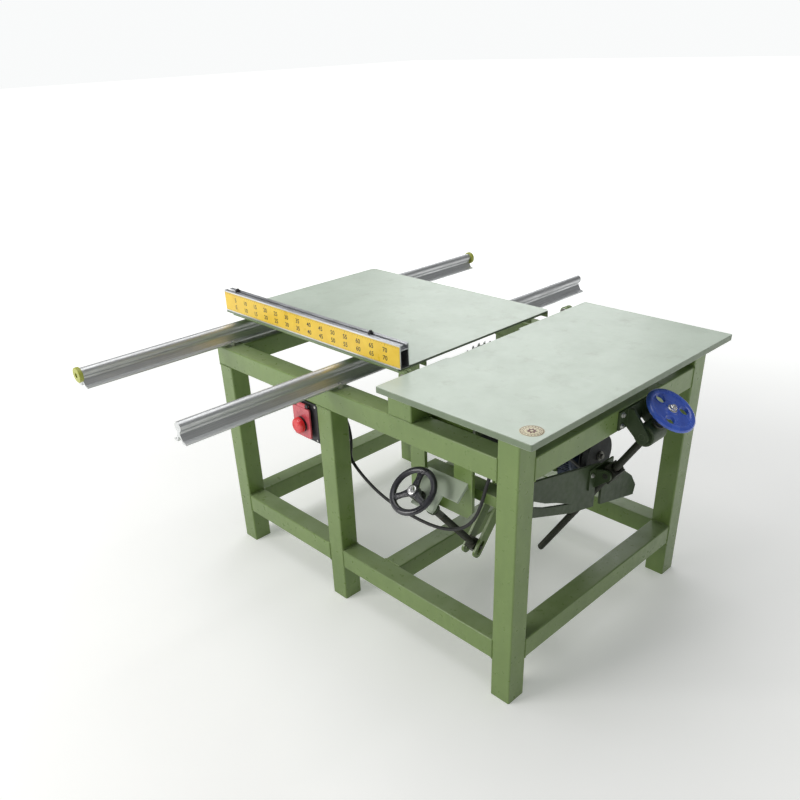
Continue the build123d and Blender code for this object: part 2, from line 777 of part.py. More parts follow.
with BuildPart() as tilt_swivel:
    with BuildSketch(facing_y(swivel.Y + swivel_width / 2)):
        with Locations((swivel.X, swivel.Z)):
            Circle(swivel_radius)
    extrude(amount=swivel_width)
    with BuildSketch(facing_y(swivel.Y + swivel_width / 2 + ear_gap + ear_thickness)):
        with Locations((swivel.X, swivel.Z)):
            Circle(trunnion_pin)
    extrude(amount=swivel_width + 2 * (ear_gap + ear_thickness))
    with BuildSketch(tilt_plane.offset(wheel_reach - 40)):
        Circle(screw_radius + running)
    extrude(amount=80, mode=Mode.SUBTRACT)
save(tilt_swivel, "tilt_swivel")

lead_screw("tilt_screw", tilt_plane.offset(6), tilt_length - 6,
           (wheel_reach - swivel_radius - 15, wheel_reach + swivel_radius - 4))

nut_clear = 4.0          # play of the screw in the swivelling nut, for the opened linkage
tilt_nut_width = 44.0
with BuildPart() as tilt_nut:
    with BuildSketch(tilt_plane.offset(wheel_reach + (tilt_nut_centre - swivel).length - 20)):
        Rectangle(tilt_nut_width, 36)
    extrude(amount=40)
    with BuildSketch(facing_y(tilt_nut_centre.Y + tilt_nut_width / 2 + 11)):
        with Locations((tilt_nut_centre.X, tilt_nut_centre.Z)):
            Circle(trunnion_pin)
    extrude(amount=tilt_nut_width + 22)
    with BuildSketch(tilt_plane.offset(wheel_reach + (tilt_nut_centre - swivel).length - 40)):
        Circle(screw_radius + nut_clear)
    extrude(amount=80, mode=Mode.SUBTRACT)
save(tilt_nut, "tilt_nut")

side_face = side_plate_x + side_plate_thickness
with BuildPart() as tilt_nut_bracket:
    with BuildSketch(facing_x(side_face)):
        with Locations((tilt_nut_centre.Y, tilt_nut_centre.Z - 16)):
            Rectangle(110, 60)
        with Locations((tilt_nut_centre.Y, screw_slot_top - 30)):
            Rectangle(screw_slot_width, 60, mode=Mode.SUBTRACT)
    extrude(amount=5)
    for y in (tilt_nut_centre.Y - tilt_nut_width / 2 - 2, tilt_nut_centre.Y + tilt_nut_width / 2 + 10):
        with BuildSketch(facing_y(y)):
            with Locations((tilt_nut_centre.X, tilt_nut_centre.Z)):
                Circle(16)
            with BuildLine():
                Polyline((side_face, tilt_nut_centre.Z + 6), (tilt_nut_centre.X, tilt_nut_centre.Z + 16),
                         (tilt_nut_centre.X + 8, tilt_nut_centre.Z - 13), (side_face, tilt_nut_centre.Z - 50),
                         close=True)
            make_face()
            with Locations((tilt_nut_centre.X, tilt_nut_centre.Z)):
                Circle(trunnion_pin + running, mode=Mode.SUBTRACT)
        extrude(amount=8)
save(tilt_nut_bracket, "tilt_nut_bracket")

# ---------------------------------------------------------------- hand wheels
wheel_radius = 67.0
rim_radius = 9.0
hub_radius = 17.0
hub_length = 22.0
rim_circle = wheel_radius - rim_radius


def outward(plane):
    """The screw's plane turned round, so that its normal points out of the hand wheel."""
    return Plane(origin=plane.origin, x_dir=plane.x_dir, z_dir=-plane.z_dir)


def hand_wheel(name, face, disc):
    """Round rim and bored hub, joined by three spokes or by a disc with three round holes."""
    section = Plane(origin=face.origin, x_dir=face.x_dir, z_dir=face.y_dir)
    with BuildPart() as wheel:
        with BuildSketch(section):
            with Locations((rim_circle, 0)):
                Ellipse(rim_radius, rim_radius * 0.8)
        revolve(axis=Axis(face.origin, face.z_dir))
        with BuildSketch(face.offset(6 - hub_length)):
            Circle(hub_radius)
        extrude(amount=hub_length)
        with BuildSketch(face.offset(-5)):
            if disc:
                Circle(rim_circle)
                with PolarLocations(37, 3, start_angle=90):
                    Circle(13, mode=Mode.SUBTRACT)
            else:
                with PolarLocations((hub_radius + rim_circle) / 2, 3, start_angle=100):
                    Rectangle(rim_circle - hub_radius + 8, 15)
        extrude(amount=8)
        with BuildSketch(face.offset(-hub_length)):
            Circle(screw_radius)
        extrude(amount=hub_length - 6, mode=Mode.SUBTRACT)
    save(wheel, name)


hand_wheel("lift_wheel", outward(lift_plane), disc=False)
hand_wheel("tilt_wheel", outward(tilt_plane), disc=True)

# ---------------------------------------------------------------- switch
switch_left = left + 359
switch_right = left + middle_leg_offset
switch_low = 508.0
switch_high = 626.0
switch_depth = 56.0
flap_x = left + 415
flap_width = 72.0
flap_high = 620.0        # top of the hinge
flap_top = flap_high - 11
flap_low = 520.0
flap_face = front - 12   # front of the flap
flap_thickness = 5.0
mushroom_z = 558.0
start_z = 598.0
with BuildPart() as switch_box:
    with BuildSketch(facing_y(front + switch_depth)):
        with Locations(((switch_left + switch_right) / 2, (switch_low + switch_high) / 2)):
            Rectangle(switch_right - switch_left, switch_high - switch_low)
    extrude(amount=switch_depth)
    fillet(switch_box.faces().sort_by(Axis.Y)[0].edges(), 5)
    with BuildSketch(facing_y(front)):
        with Locations((flap_x, mushroom_z)):
            Circle(10)
        with Locations((flap_x, start_z)):
            Circle(10.3)
    extrude(amount=-16, mode=Mode.SUBTRACT)
    # Hinge lugs above the flap.
    with BuildSketch(facing_x(flap_x - 30)):
        with Locations((front - 5, flap_high - 3)):
            Rectangle(12, 9)
    extrude(amount=10)
    with BuildSketch(facing_x(flap_x + 20)):
        with Locations((front - 5, flap_high - 3)):
            Rectangle(12, 9)
    extrude(amount=10)
    with BuildSketch(facing_x(flap_x - 32)):
        with Locations((front - 7, flap_high - 3)):
            Circle(1.5 + running)
    extrude(amount=64, mode=Mode.SUBTRACT)
save(switch_box, "switch_box")

with BuildPart() as switch_flap:
    with BuildSketch(facing_y(flap_face + flap_thickness)):
        with Locations((flap_x, (flap_low + flap_top) / 2)):
            RectangleRounded(flap_width, flap_top - flap_low, 5)
        with Locations((flap_x, mushroom_z)):
            Circle(8.3, mode=Mode.SUBTRACT)
    extrude(amount=flap_thickness)
    # Hinge barrel between the lugs, with its pin.
    with BuildSketch(facing_x(flap_x - 18)):
        with Locations((front - 7, flap_high - 3)):
            Circle(3.4)
        with Locations((front - 9, flap_high - 9)):
            Rectangle(4, 10)
    extrude(amount=36)
    with BuildSketch(facing_x(flap_x - 30)):
        with Locations((front - 7, flap_high - 3)):
            Circle(1.5)
    extrude(amount=60)
save(switch_flap, "switch_flap")

with BuildPart() as stop_button:
    with BuildSketch(facing_y(flap_face + flap_thickness + 6)):
        with Locations((flap_x, mushroom_z)):
            Circle(8)
    extrude(amount=flap_thickness + 14)
    with BuildSketch(facing_y(flap_face - 7)):
        with Locations((flap_x, mushroom_z)):
            Circle(23)
    extrude(amount=14)
    fillet(stop_button.edges().filter_by(GeomType.CIRCLE).sort_by(Axis.Y)[0], 8)
save(stop_button, "stop_button")

with BuildPart() as start_button:
    with BuildSketch(facing_y(front + 12)):
        with Locations((flap_x, start_z)):
            Circle(10)
    extrude(amount=15)
save(start_button, "start_button")

# ---------------------------------------------------------------- motor lead
box_left = left + 1000.0
with BuildPart() as junction_box:
    with BuildSketch(upright(632)):
        with Locations((box_left + 35, front_inner + 20)):
            RectangleRounded(70, 40, 3)
    extrude(amount=54)
save(junction_box, "junction_box")

cable_radius = 4.5
cable_y = 67.0           # the lead hangs in the space between the front rail and the carriage
gland_length = 14.0
switch_exit = (left + 420, front + switch_depth, 556)
box_exit = (left + 1022, front_inner + 16, 632)
with BuildPart() as cable_glands:
    with BuildSketch(Plane(origin=switch_exit, x_dir=(1, 0, 0), z_dir=(0, 1, 0))):
        Circle(9)
    extrude(amount=gland_length)
    with BuildSketch(Plane(origin=box_exit, x_dir=(1, 0, 0), z_dir=(0, 0, -1))):
        Circle(9)
    extrude(amount=gland_length)
save(cable_glands, "cable_glands")

cable_route = [(420, switch_depth + gland_length, 556), (420, 100, 556), (420, 126, 543), (423, 141, 519),
               (430, 144, 490), (444, 136, 465), (466, 116, 451), (490, 92, 447), (514, 76, 442),
               (545, 68, 430), (585, 67, 407), (626, 67, 389), (672, 67, 376), (730, 67, 368),
               (790, 67, 365), (850, 67, 369), (906, 67, 385), (954, 67, 414), (986, 67, 456),
               (1004, 67, 505), (1014, 69, 550), (1022, 76, 588), (1022, 76, 632 - gland_length)]
cable_points = [Vector(left + x, front + y, z) for x, y, z in cable_route]


def bend_radii(points):
    """Radius of each corner: as large as the shorter run beside it allows."""
    radii = []
    for before, corner, after in zip(points, points[1:], points[2:]):
        run_in = corner - before
        run_out = after - corner
        turn = radians(run_in.get_angle(run_out))
        radii.append(0.45 * min(run_in.length, run_out.length) / (sin(turn / 2) / cos(turn / 2)))
    return radii


cable_radii = bend_radii(cable_points)
print("motor lead bend radii", [round(radius) for radius in cable_radii])
with BuildPart() as motor_lead:
    with BuildLine() as lead_path:
        FilletPolyline(*cable_points, radius=cable_radii)
    with BuildSketch(Plane(origin=lead_path.line @ 0, z_dir=lead_path.line % 0)):
        Circle(cable_radius)
    sweep()
print("motor lead length", round(lead_path.wire().length), "volume check",
      round(motor_lead.part.volume / (3.14159265 * cable_radius ** 2 * lead_path.wire().length), 4))
save(motor_lead, "motor_lead")
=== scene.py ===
"""Looks of the panel saw: materials, weld beads, threads, wheels, motor, fasteners, lights and camera.

Lengths in the helpers are millimetres from the frame's front left foot, as in part.py; at() turns
them into the row frame's metres.
"""
import json
import random
from math import cos, pi, radians, sin

import bmesh
import bpy
from mathutils import Matrix, Vector


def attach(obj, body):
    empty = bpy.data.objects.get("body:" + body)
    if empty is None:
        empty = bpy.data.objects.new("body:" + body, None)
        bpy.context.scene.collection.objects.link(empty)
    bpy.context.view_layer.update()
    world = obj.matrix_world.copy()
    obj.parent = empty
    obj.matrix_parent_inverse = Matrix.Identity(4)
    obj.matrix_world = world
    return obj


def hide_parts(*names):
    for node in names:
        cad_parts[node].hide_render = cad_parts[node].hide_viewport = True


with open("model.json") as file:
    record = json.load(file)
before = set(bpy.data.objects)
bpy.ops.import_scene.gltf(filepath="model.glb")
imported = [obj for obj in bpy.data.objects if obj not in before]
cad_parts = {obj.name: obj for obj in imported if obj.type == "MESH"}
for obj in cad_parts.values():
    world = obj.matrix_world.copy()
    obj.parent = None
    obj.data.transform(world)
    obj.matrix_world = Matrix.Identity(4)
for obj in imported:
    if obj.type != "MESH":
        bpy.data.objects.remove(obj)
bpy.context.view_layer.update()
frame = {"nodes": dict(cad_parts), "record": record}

MM = 0.001
LEFT, FRONT = -644.8, -345.0
nodes = frame["nodes"]
rng = random.Random(7)


def at(x, y, z):
    """Row-frame place, in metres, of a point given in mm from the frame's front left foot."""
    return Vector(((LEFT + x) * MM, (FRONT + y) * MM, z * MM))


# ---------------------------------------------------------------- materials
def new_material(name):
    m = bpy.data.materials.new(name)
    m.use_nodes = True
    tree = m.node_tree
    shader = tree.nodes["Principled BSDF"]
    coords = tree.nodes.new("ShaderNodeTexCoord")
    return m, tree, shader, coords.outputs["Object"]


def noise(tree, coords, scale, detail=3.0, stretch=None, rough=0.55):
    """Noise in object space; stretch squeezes it along the axes for brushed or drawn metal."""
    n = tree.nodes.new("ShaderNodeTexNoise")
    n.inputs["Scale"].default_value = scale
    n.inputs["Detail"].default_value = detail
    n.inputs["Roughness"].default_value = rough
    if stretch:
        mapping = tree.nodes.new("ShaderNodeMapping")
        mapping.inputs["Scale"].default_value = stretch
        tree.links.new(coords, mapping.inputs["Vector"])
        coords = mapping.outputs["Vector"]
    tree.links.new(coords, n.inputs["Vector"])
    return n.outputs["Fac"]


def ramp(tree, value, stops):
    r = tree.nodes.new("ShaderNodeValToRGB")
    while len(r.color_ramp.elements) < len(stops):
        r.color_ramp.elements.new(0.5)
    for element, (place, colour) in zip(r.color_ramp.elements, stops):
        element.position = place
        element.color = (*colour, 1) if len(colour) == 3 else colour
    tree.links.new(value, r.inputs["Fac"])
    return r.outputs["Color"]


def mix(tree, factor, a, b):
    """Colour mix; a and b are sockets or colours."""
    m = tree.nodes.new("ShaderNodeMix")
    m.data_type = "RGBA"
    tree.links.new(factor, m.inputs[0])
    for socket, value in ((m.inputs[6], a), (m.inputs[7], b)):
        if isinstance(value, tuple):
            socket.default_value = (*value, 1)
        else:
            tree.links.new(value, socket)
    return m.outputs[2]


def spread(tree, value, low, high, out_low=0.0, out_high=1.0):
    m = tree.nodes.new("ShaderNodeMapRange")
    m.inputs["From Min"].default_value = low
    m.inputs["From Max"].default_value = high
    m.inputs["To Min"].default_value = out_low
    m.inputs["To Max"].default_value = out_high
    tree.links.new(value, m.inputs["Value"])
    return m.outputs["Result"]


def facing_up(tree, low=0.6, high=0.95):
    """1 on faces that look up, 0 on upright and hanging ones."""
    geometry = tree.nodes.new("ShaderNodeNewGeometry")
    split = tree.nodes.new("ShaderNodeSeparateXYZ")
    tree.links.new(geometry.outputs["Normal"], split.inputs["Vector"])
    return spread(tree, split.outputs["Z"], low, high)


def edge_wear_and_highlight(tree, radius, low=0.02, high=0.16):
    """1 along outer edges, for rubbed paint and a painted highlight: how far a bevelled normal leans from the
    true one.
    """
    bevel = tree.nodes.new("ShaderNodeBevel")
    bevel.samples = 4
    bevel.inputs["Radius"].default_value = radius
    geometry = tree.nodes.new("ShaderNodeNewGeometry")
    dot = tree.nodes.new("ShaderNodeVectorMath")
    dot.operation = "DOT_PRODUCT"
    tree.links.new(bevel.outputs["Normal"], dot.inputs[0])
    tree.links.new(geometry.outputs["Normal"], dot.inputs[1])
    flip = tree.nodes.new("ShaderNodeMath")
    flip.operation = "SUBTRACT"
    flip.inputs[0].default_value = 1.0
    tree.links.new(dot.outputs["Value"], flip.inputs[1])
    return spread(tree, flip.outputs["Value"], low, high)


def times(tree, a, b):
    m = tree.nodes.new("ShaderNodeMath")
    m.operation = "MULTIPLY"
    m.use_clamp = True
    for socket, value in zip(m.inputs, (a, b)):
        if isinstance(value, (int, float)):
            socket.default_value = value
        else:
            tree.links.new(value, socket)
    return m.outputs["Value"]


def bump(tree, shader, layers, round_edges=0.0):
    """Stack of bumps, each (height socket, strength, depth in metres), over rounded edges."""
    normal = None
    if round_edges:
        bevel = tree.nodes.new("ShaderNodeBevel")
        bevel.samples = 4
        bevel.inputs["Radius"].default_value = round_edges
        normal = bevel.outputs["Normal"]
    for height, strength, depth in layers:
        b = tree.nodes.new("ShaderNodeBump")
        b.inputs["Strength"].default_value = strength
        b.inputs["Distance"].default_value = depth
        tree.links.new(height, b.inputs["Height"])
        if normal:
            tree.links.new(normal, b.inputs["Normal"])
        normal = b.outputs["Normal"]
    tree.links.new(normal, shader.inputs["Normal"])


def paint(name, dark, light, top, rough=0.32, edge=None, stains=None, peel=0.00018, coat=0.25, dust_and_light_low=0.45):
    """Brushed or sprayed enamel: cloudy colour, orange peel, top faces paled partly by dust and partly by
    painted light, edges brightened partly by wear and partly by a painted highlight.
    """
    m, t, s, c = new_material(name)
    clouds = noise(t, c, 5.0, 5.0)
    drips = noise(t, c, 46.0, 3.0, (1, 1, 0.25))
    colour = ramp(t, clouds, ((0.3, dark), (0.7, light)))
    fine = ramp(t, drips, ((0.3, tuple(v * 0.86 for v in light)), (0.7, tuple(v * 1.10 for v in light))))
    colour = mix(t, spread(t, drips, 0.35, 0.75, 0.1, 0.45), colour, fine)
    # Top faces take the top colour: partly dust, partly painted light from above.
    dust_and_top_light = times(t, facing_up(t), spread(t, noise(t, c, 11.0, 6.0), 0.3, 0.62, dust_and_light_low, 1.0))
    colour = mix(t, dust_and_top_light, colour, top)
    if stains:
        spots = noise(t, c, 17.0, 8.0, rough=0.7)
        colour = mix(t, times(t, spread(t, spots, 0.55, 0.72, 0.0, 0.6), facing_up(t)), colour, stains)
    if edge:
        # Outer edges turn brighter: partly rubbed paint, partly a painted highlight.
        rubbed_and_highlit_edge = times(t, edge_wear_and_highlight(t, 0.0018), spread(t, noise(t, c, 28.0, 5.0), 0.36, 0.6, 0.15, 1.0))
        colour = mix(t, rubbed_and_highlit_edge, colour, edge)
    chips = spread(t, noise(t, c, 130.0, 4.0, rough=0.75), 0.765, 0.78)
    colour = mix(t, chips, colour, tuple(v * 0.35 for v in dark))
    t.links.new(colour, s.inputs["Base Color"])
    sheen_patches = spread(t, noise(t, c, 60.0, 4.0), 0.3, 0.7, rough - 0.07, rough + 0.12)
    t.links.new(sheen_patches, s.inputs["Roughness"])
    s.inputs["Coat Weight"].default_value = coat
    s.inputs["Coat Roughness"].default_value = 0.22
    bump(t, s, ((noise(t, c, 210.0, 2.0), 0.5, peel), (noise(t, c, 24.0, 2.0), 0.35, peel * 3)), 0.0012)
    return m


def metal(name, dark, light, rough=0.3, stretch=(1, 1, 1), scale=400.0, rust=None, metallic=1.0,
          depth=0.00006):
    """Bare metal with drawn or turned lines and dull patches."""
    m, t, s, c = new_material(name)
    lines = noise(t, c, scale, 4.0, stretch)
    patches = noise(t, c, 14.0, 6.0)
    colour = ramp(t, lines, ((0.25, dark), (0.75, light)))
    colour = mix(t, spread(t, patches, 0.3, 0.7, 0.0, 0.4), colour, dark)
    if rust:
        colour = mix(t, spread(t, noise(t, c, 70.0, 8.0, rough=0.7), 0.56, 0.7, 0.0, 0.65), colour, rust)
    t.links.new(colour, s.inputs["Base Color"])
    s.inputs["Metallic"].default_value = metallic
    t.links.new(spread(t, patches, 0.3, 0.7, rough - 0.06, rough + 0.14), s.inputs["Roughness"])
    bump(t, s, ((lines, 0.5, depth),), 0.0006)
    return m


def moulded(name, dark, light, rough=0.4, grain=700.0, depth=0.00008, coat=0.0):
    """Moulded plastic or rubber: fine grain, slight scuffs."""
    m, t, s, c = new_material(name)
    clouds = noise(t, c, 30.0, 5.0)
    colour = ramp(t, clouds, ((0.3, dark), (0.7, light)))
    scuff = spread(t, noise(t, c, 120.0, 7.0, rough=0.7), 0.6, 0.75, 0.0, 0.3)
    colour = mix(t, scuff, colour, tuple(min(1.0, v * 1.5 + 0.02) for v in light))
    t.links.new(colour, s.inputs["Base Color"])
    t.links.new(spread(t, clouds, 0.3, 0.7, rough - 0.08, rough + 0.1), s.inputs["Roughness"])
    s.inputs["Coat Weight"].default_value = coat
    bump(t, s, ((noise(t, c, grain, 2.0), 0.4, depth), (clouds, 0.3, depth * 2)), 0.0007)
    return m


# The top colour is paler than the sides partly with dust and partly as painted light from above.
GREEN = dict(dark=(0.125, 0.200, 0.045), light=(0.175, 0.262, 0.070), top=(0.27, 0.35, 0.17))
frame_paint = paint("olive_frame_paint", edge=(0.42, 0.50, 0.30), **GREEN)
# Darker than the frame's green as painted shade: it stands for the shade under the table.
mechanism_paint = paint("shade_darkened_mechanism_paint", (0.020, 0.040, 0.010), (0.036, 0.064, 0.018),
                        (0.062, 0.092, 0.038), rough=0.58, edge=(0.13, 0.17, 0.09), peel=0.0003)
# Its dark sides are painted shade; the pale top is the paint's own colour.
table_paint = paint("pale_table_paint", (0.135, 0.185, 0.11), (0.18, 0.235, 0.145), (0.655, 0.745, 0.64),
                    rough=0.36, edge=(0.62, 0.68, 0.58), stains=(0.50, 0.56, 0.46), peel=0.00010, coat=0.12,
                    dust_and_light_low=0.88)
pale_bracket = paint("pale_bracket_paint", (0.40, 0.47, 0.37), (0.48, 0.55, 0.44), (0.55, 0.62, 0.50),
                     rough=0.36, edge=(0.65, 0.7, 0.6), stains=(0.33, 0.38, 0.28))
motor_paint = paint("blue_motor_paint", (0.012, 0.022, 0.055), (0.022, 0.038, 0.085), (0.03, 0.05, 0.10),
                    rough=0.38, edge=(0.08, 0.11, 0.18))
rail_metal = metal("drawn_aluminium", (0.50, 0.51, 0.51), (0.82, 0.83, 0.84), 0.42, (1, 0.012, 1), 900.0)
fence_metal = metal("anodised_aluminium", (0.55, 0.56, 0.58), (0.80, 0.81, 0.83), 0.34, (0.012, 1, 1), 900.0)
plain_steel = metal("oiled_steel", (0.16, 0.155, 0.145), (0.34, 0.33, 0.31), 0.36, rust=(0.10, 0.05, 0.025))
zinc_steel = metal("zinc_plate", (0.50, 0.50, 0.48), (0.74, 0.74, 0.71), 0.34)
bright_steel = metal("bright_steel", (0.60, 0.60, 0.60), (0.82, 0.82, 0.82), 0.22)
black_screw_steel = metal("black_screw_steel", (0.035, 0.038, 0.03), (0.10, 0.105, 0.085), 0.42,
                          rust=(0.08, 0.045, 0.02), metallic=0.8)
pulley_iron = metal("dark_cast_pulley", (0.03, 0.032, 0.035), (0.075, 0.078, 0.08), 0.5, metallic=0.7,
                    rust=(0.06, 0.035, 0.02))
blade_steel = metal("ground_blade_steel", (0.42, 0.42, 0.43), (0.66, 0.66, 0.67), 0.24)
stop_plastic = moulded("olive_yellow_plastic", (0.33, 0.36, 0.05), (0.48, 0.50, 0.10), 0.42)
black_plastic = moulded("black_plastic", (0.010, 0.010, 0.012), (0.022, 0.022, 0.026), 0.42)
wheel_plastic = moulded("black_wheel_plastic", (0.014, 0.014, 0.018), (0.035, 0.035, 0.045), 0.28, 500.0,
                        0.0001, 0.3)
blue_plastic = moulded("blue_wheel_enamel", (0.030, 0.085, 0.48), (0.055, 0.14, 0.66), 0.24, 420.0,
                       0.00018, 0.4)
red_plastic = moulded("red_button_plastic", (0.62, 0.015, 0.02), (0.78, 0.03, 0.035), 0.25, coat=0.4)
flap_plastic = moulded("red_flap_plastic", (0.47, 0.05, 0.07), (0.62, 0.11, 0.13), 0.3, coat=0.3)
green_plastic = moulded("green_button_plastic", (0.02, 0.30, 0.07), (0.04, 0.42, 0.10), 0.3, coat=0.3)
belt_rubber = moulded("belt_rubber", (0.012, 0.012, 0.012), (0.03, 0.03, 0.03), 0.65, 900.0, 0.0002)
cable_rubber = moulded("cable_rubber", (0.008, 0.008, 0.008), (0.018, 0.018, 0.018), 0.5, 900.0, 0.0001)
tape_yellow = moulded("yellow_tape", (0.80, 0.52, 0.035), (0.88, 0.61, 0.06), 0.34, 800.0, 0.00003)
tape_black = moulded("tape_print", (0.012, 0.011, 0.010), (0.03, 0.028, 0.02), 0.4)
cream_print = moulded("cream_print", (0.74, 0.68, 0.47), (0.82, 0.76, 0.56), 0.4)
brown_print = moulded("brown_print", (0.13, 0.045, 0.025), (0.20, 0.07, 0.04), 0.4)

SLOT_LOOKS = {"frame_paint": frame_paint, "table_paint": table_paint, "rail_aluminium": rail_metal,
              "fence_aluminium": fence_metal, "stop_plastic": stop_plastic, "plain_steel": plain_steel,
              "zinc_steel": zinc_steel, "blade_steel": blade_steel, "mechanism_paint": mechanism_paint,
              "motor_paint": motor_paint, "belt_rubber": belt_rubber, "black_plastic": black_plastic,
              "red_plastic": red_plastic, "flap_plastic": flap_plastic, "green_plastic": green_plastic,
              "blue_plastic": blue_plastic, "cable_sheath": cable_rubber}
NODE_LOOKS = {"lift_screw_bracket": pale_bracket, "carriage_end_plates": frame_paint,
              "lift_arm": frame_paint, "carriage_bars": frame_paint, "motor_pulley": pulley_iron,
              "arbor_pulley": pulley_iron, "tilt_nut": black_screw_steel, "lift_nut": black_screw_steel,
              "motor_shaft": plain_steel}
for entry in frame["record"]["subparts"]:
    obj = nodes[entry["node"]]
    obj.data.materials.clear()
    obj.data.materials.append(NODE_LOOKS.get(entry["node"], SLOT_LOOKS[entry["material_slot"]]))


# ---------------------------------------------------------------- mesh helpers
class Shape:
    """Collects closed surfaces, in row metres, for one Blender object."""

    def __init__(self):
        self.verts, self.faces, self.smooth, self.looks = [], [], [], []

    def add(self, verts, faces, smooth=True, look=0):
        start = len(self.verts)
        self.verts += [Vector(v) for v in verts]
        self.faces += [[i + start for i in f] for f in faces]
        self.smooth += [smooth] * len(faces)
        self.looks += [look] * len(faces)

    def grid(self, rows, cols, closed_rows=False, caps=True, smooth=True, look=0):
        """Skin over rows of points; each row is a closed ring."""
        verts = [p for row in rows for p in row]
        n, k = len(rows), cols
        faces = []
        for i in range(n if closed_rows else n - 1):
            a, b = i * k, ((i + 1) % n) * k
            faces += [[a + j, a + (j + 1) % k, b + (j + 1) % k, b + j] for j in range(k)]
        if caps and not closed_rows:
            faces += [list(range(k))[::-1], [(n - 1) * k + j for j in range(k)]]
        self.add(verts, faces, smooth, look)

    def tube(self, points, radii, sides=8, closed=False, smooth=True, look=0, caps=True):
        """Round tube through points; radii is one number or one per point."""
        n = len(points)
        points = [Vector(p) for p in points]
        if isinstance(radii, (int, float)):
            radii = [radii] * n
        rows, up = [], None
        for i, p in enumerate(points):
            before = points[(i - 1) % n] if closed or i else p
            after = points[(i + 1) % n] if closed or i < n - 1 else p
            along = (after - before).normalized()
            if up is None:
                up = along.orthogonal().normalized()
            side = along.cross(up).normalized()
            up = side.cross(along).normalized()
            rows.append([p + (side * cos(2 * pi * j / sides) + up * sin(2 * pi * j / sides)) * radii[i]
                         for j in range(sides)])
        self.grid(rows, sides, closed, caps, smooth, look)

    def lathe(self, matrix, profile, steps=48, smooth=True, look=0, closed=False):
        """Turned form: profile is (radius, height) in mm about the matrix's Z."""
        rows = [[matrix @ Vector((r * cos(2 * pi * j / steps), r * sin(2 * pi * j / steps), h))
                 for j in range(steps)] for r, h in profile]
        self.grid(rows, steps, closed, not closed, smooth, look)

    def prism(self, matrix, outline, low, high, smooth=False, look=0):
        """Straight form over an outline of (x, y) in mm in the matrix's plane."""
        self.grid([[matrix @ Vector((x, y, h)) for x, y in outline] for h in (low, high)],
                  len(outline), smooth=smooth, look=look)

    def box(self, matrix, centre, size, look=0):
        x, y, z = centre
        a, b, c = (v / 2 for v in size)
        self.prism(matrix, ((x - a, y - b), (x + a, y - b), (x + a, y + b), (x - a, y + b)),
                   z - c, z + c, look=look)

    def bolt(self, matrix, radius=5.5, height=4.5, washer=True, look=0):
        """Hexagon head on a washer, with a chamfered crown and the bolt's end."""
        if washer:
            self.lathe(matrix, ((radius * 1.3, -0.2), (radius * 1.36, 0.3), (radius * 1.36, 1.1),
                                (radius * 1.2, 1.4), (0.01, 1.4)), 28, look=look)
        base = 1.4 if washer else 0.0
        rows = []
        for r, h in ((radius, base - 0.3), (radius, base + height * 0.82), (radius * 0.86, base + height),
                     (0.01, base + height)):
            rows.append([matrix @ Vector((r * cos(pi * j / 3), r * sin(pi * j / 3), h)) for j in range(6)])
        self.grid(rows, 6, smooth=False, look=look)

    def make(self, name, body, slot, looks, bevel=0.0, segments=2, auto=40.0):
        mesh = bpy.data.meshes.new(name)
        mesh.from_pydata([tuple(v) for v in self.verts], [], self.faces)
        for polygon, smooth, look in zip(mesh.polygons, self.smooth, self.looks):
            polygon.use_smooth = smooth
            polygon.material_index = look
        bm = bmesh.new()
        bm.from_mesh(mesh)
        bmesh.ops.remove_doubles(bm, verts=bm.verts, dist=1e-7)
        bmesh.ops.recalc_face_normals(bm, faces=bm.faces)
        bm.to_mesh(mesh)
        bm.free()
        for look in (looks if isinstance(looks, (list, tuple)) else [looks]):
            mesh.materials.append(look)
        obj = bpy.data.objects.new(name, mesh)
        bpy.context.scene.collection.objects.link(obj)
        if bevel:
            b = obj.modifiers.new("round_edges", "BEVEL")
            b.width = bevel * MM
            b.segments = segments
            b.limit_method = "ANGLE"
            b.angle_limit = radians(auto)
        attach(obj, body)
        return obj


def place(origin, z, x=None):
    """Matrix from local millimetres to row metres: origin in metres, z the local height."""
    z = Vector(z).normalized()
    x = Vector(x).normalized() if x else z.orthogonal().normalized()
    x = (x - z * x.dot(z)).normalized()
    y = z.cross(x)
    turn = Matrix((x, y, z)).transposed().to_4x4()
    return Matrix.Translation(origin) @ turn @ Matrix.Scale(MM, 4)


def melted(obj, voxel, rounds=6):
    """Fuses the object's overlapping forms into one skin with soft inner corners."""
    remesh = obj.modifiers.new("fuse", "REMESH")
    remesh.mode = "VOXEL"
    remesh.voxel_size = voxel * MM
    soften = obj.modifiers.new("soften", "SMOOTH")
    soften.factor = 0.5
    soften.iterations = rounds
    bpy.context.view_layer.update()
    shape = bpy.data.meshes.new_from_object(obj.evaluated_get(bpy.context.evaluated_depsgraph_get()))
    obj.modifiers.clear()
    obj.data = shape
    for polygon in shape.polygons:
        polygon.use_smooth = True
    return obj


# ---------------------------------------------------------------- frame: weld beads
DEPTH = 814.0            # the frame, front to back


def weld_path(corners, step=1.6, radius=4.0):
    """Points round a square of corners, with rounded turns, every step mm."""
    points = []
    n = len(corners)
    for i, corner in enumerate(corners):
        corner = Vector(corner)
        before = (Vector(corners[i - 1]) - corner).normalized()
        after = (Vector(corners[(i + 1) % n]) - corner).normalized()
        start, end = corner + before * radius, corner + after * radius
        points += [start.lerp(corner, t).lerp(corner.lerp(end, t), t) for t in (0.0, 0.5)]
        target = Vector(corners[(i + 1) % n]) - after * radius
        count = max(1, int((target - end).length / step))
        points += [end.lerp(target, k / count) for k in range(count)]
    return points


def ripple(points, size, pitch=4.2):
    """Radii that swell and pinch along a bead, like overlapping weld scales, a little unevenly."""
    radii, run, phase = [], 0.0, rng.uniform(0, pitch)
    for i, p in enumerate(points):
        run += (p - points[i - 1]).length if i else 0.0
        scale = ((run + phase) % pitch) / pitch
        radii.append(size * (0.86 + 0.26 * sin(pi * scale)) * (1 + 0.08 * sin(run * 0.11 + phase)))
    return radii


welds = Shape()


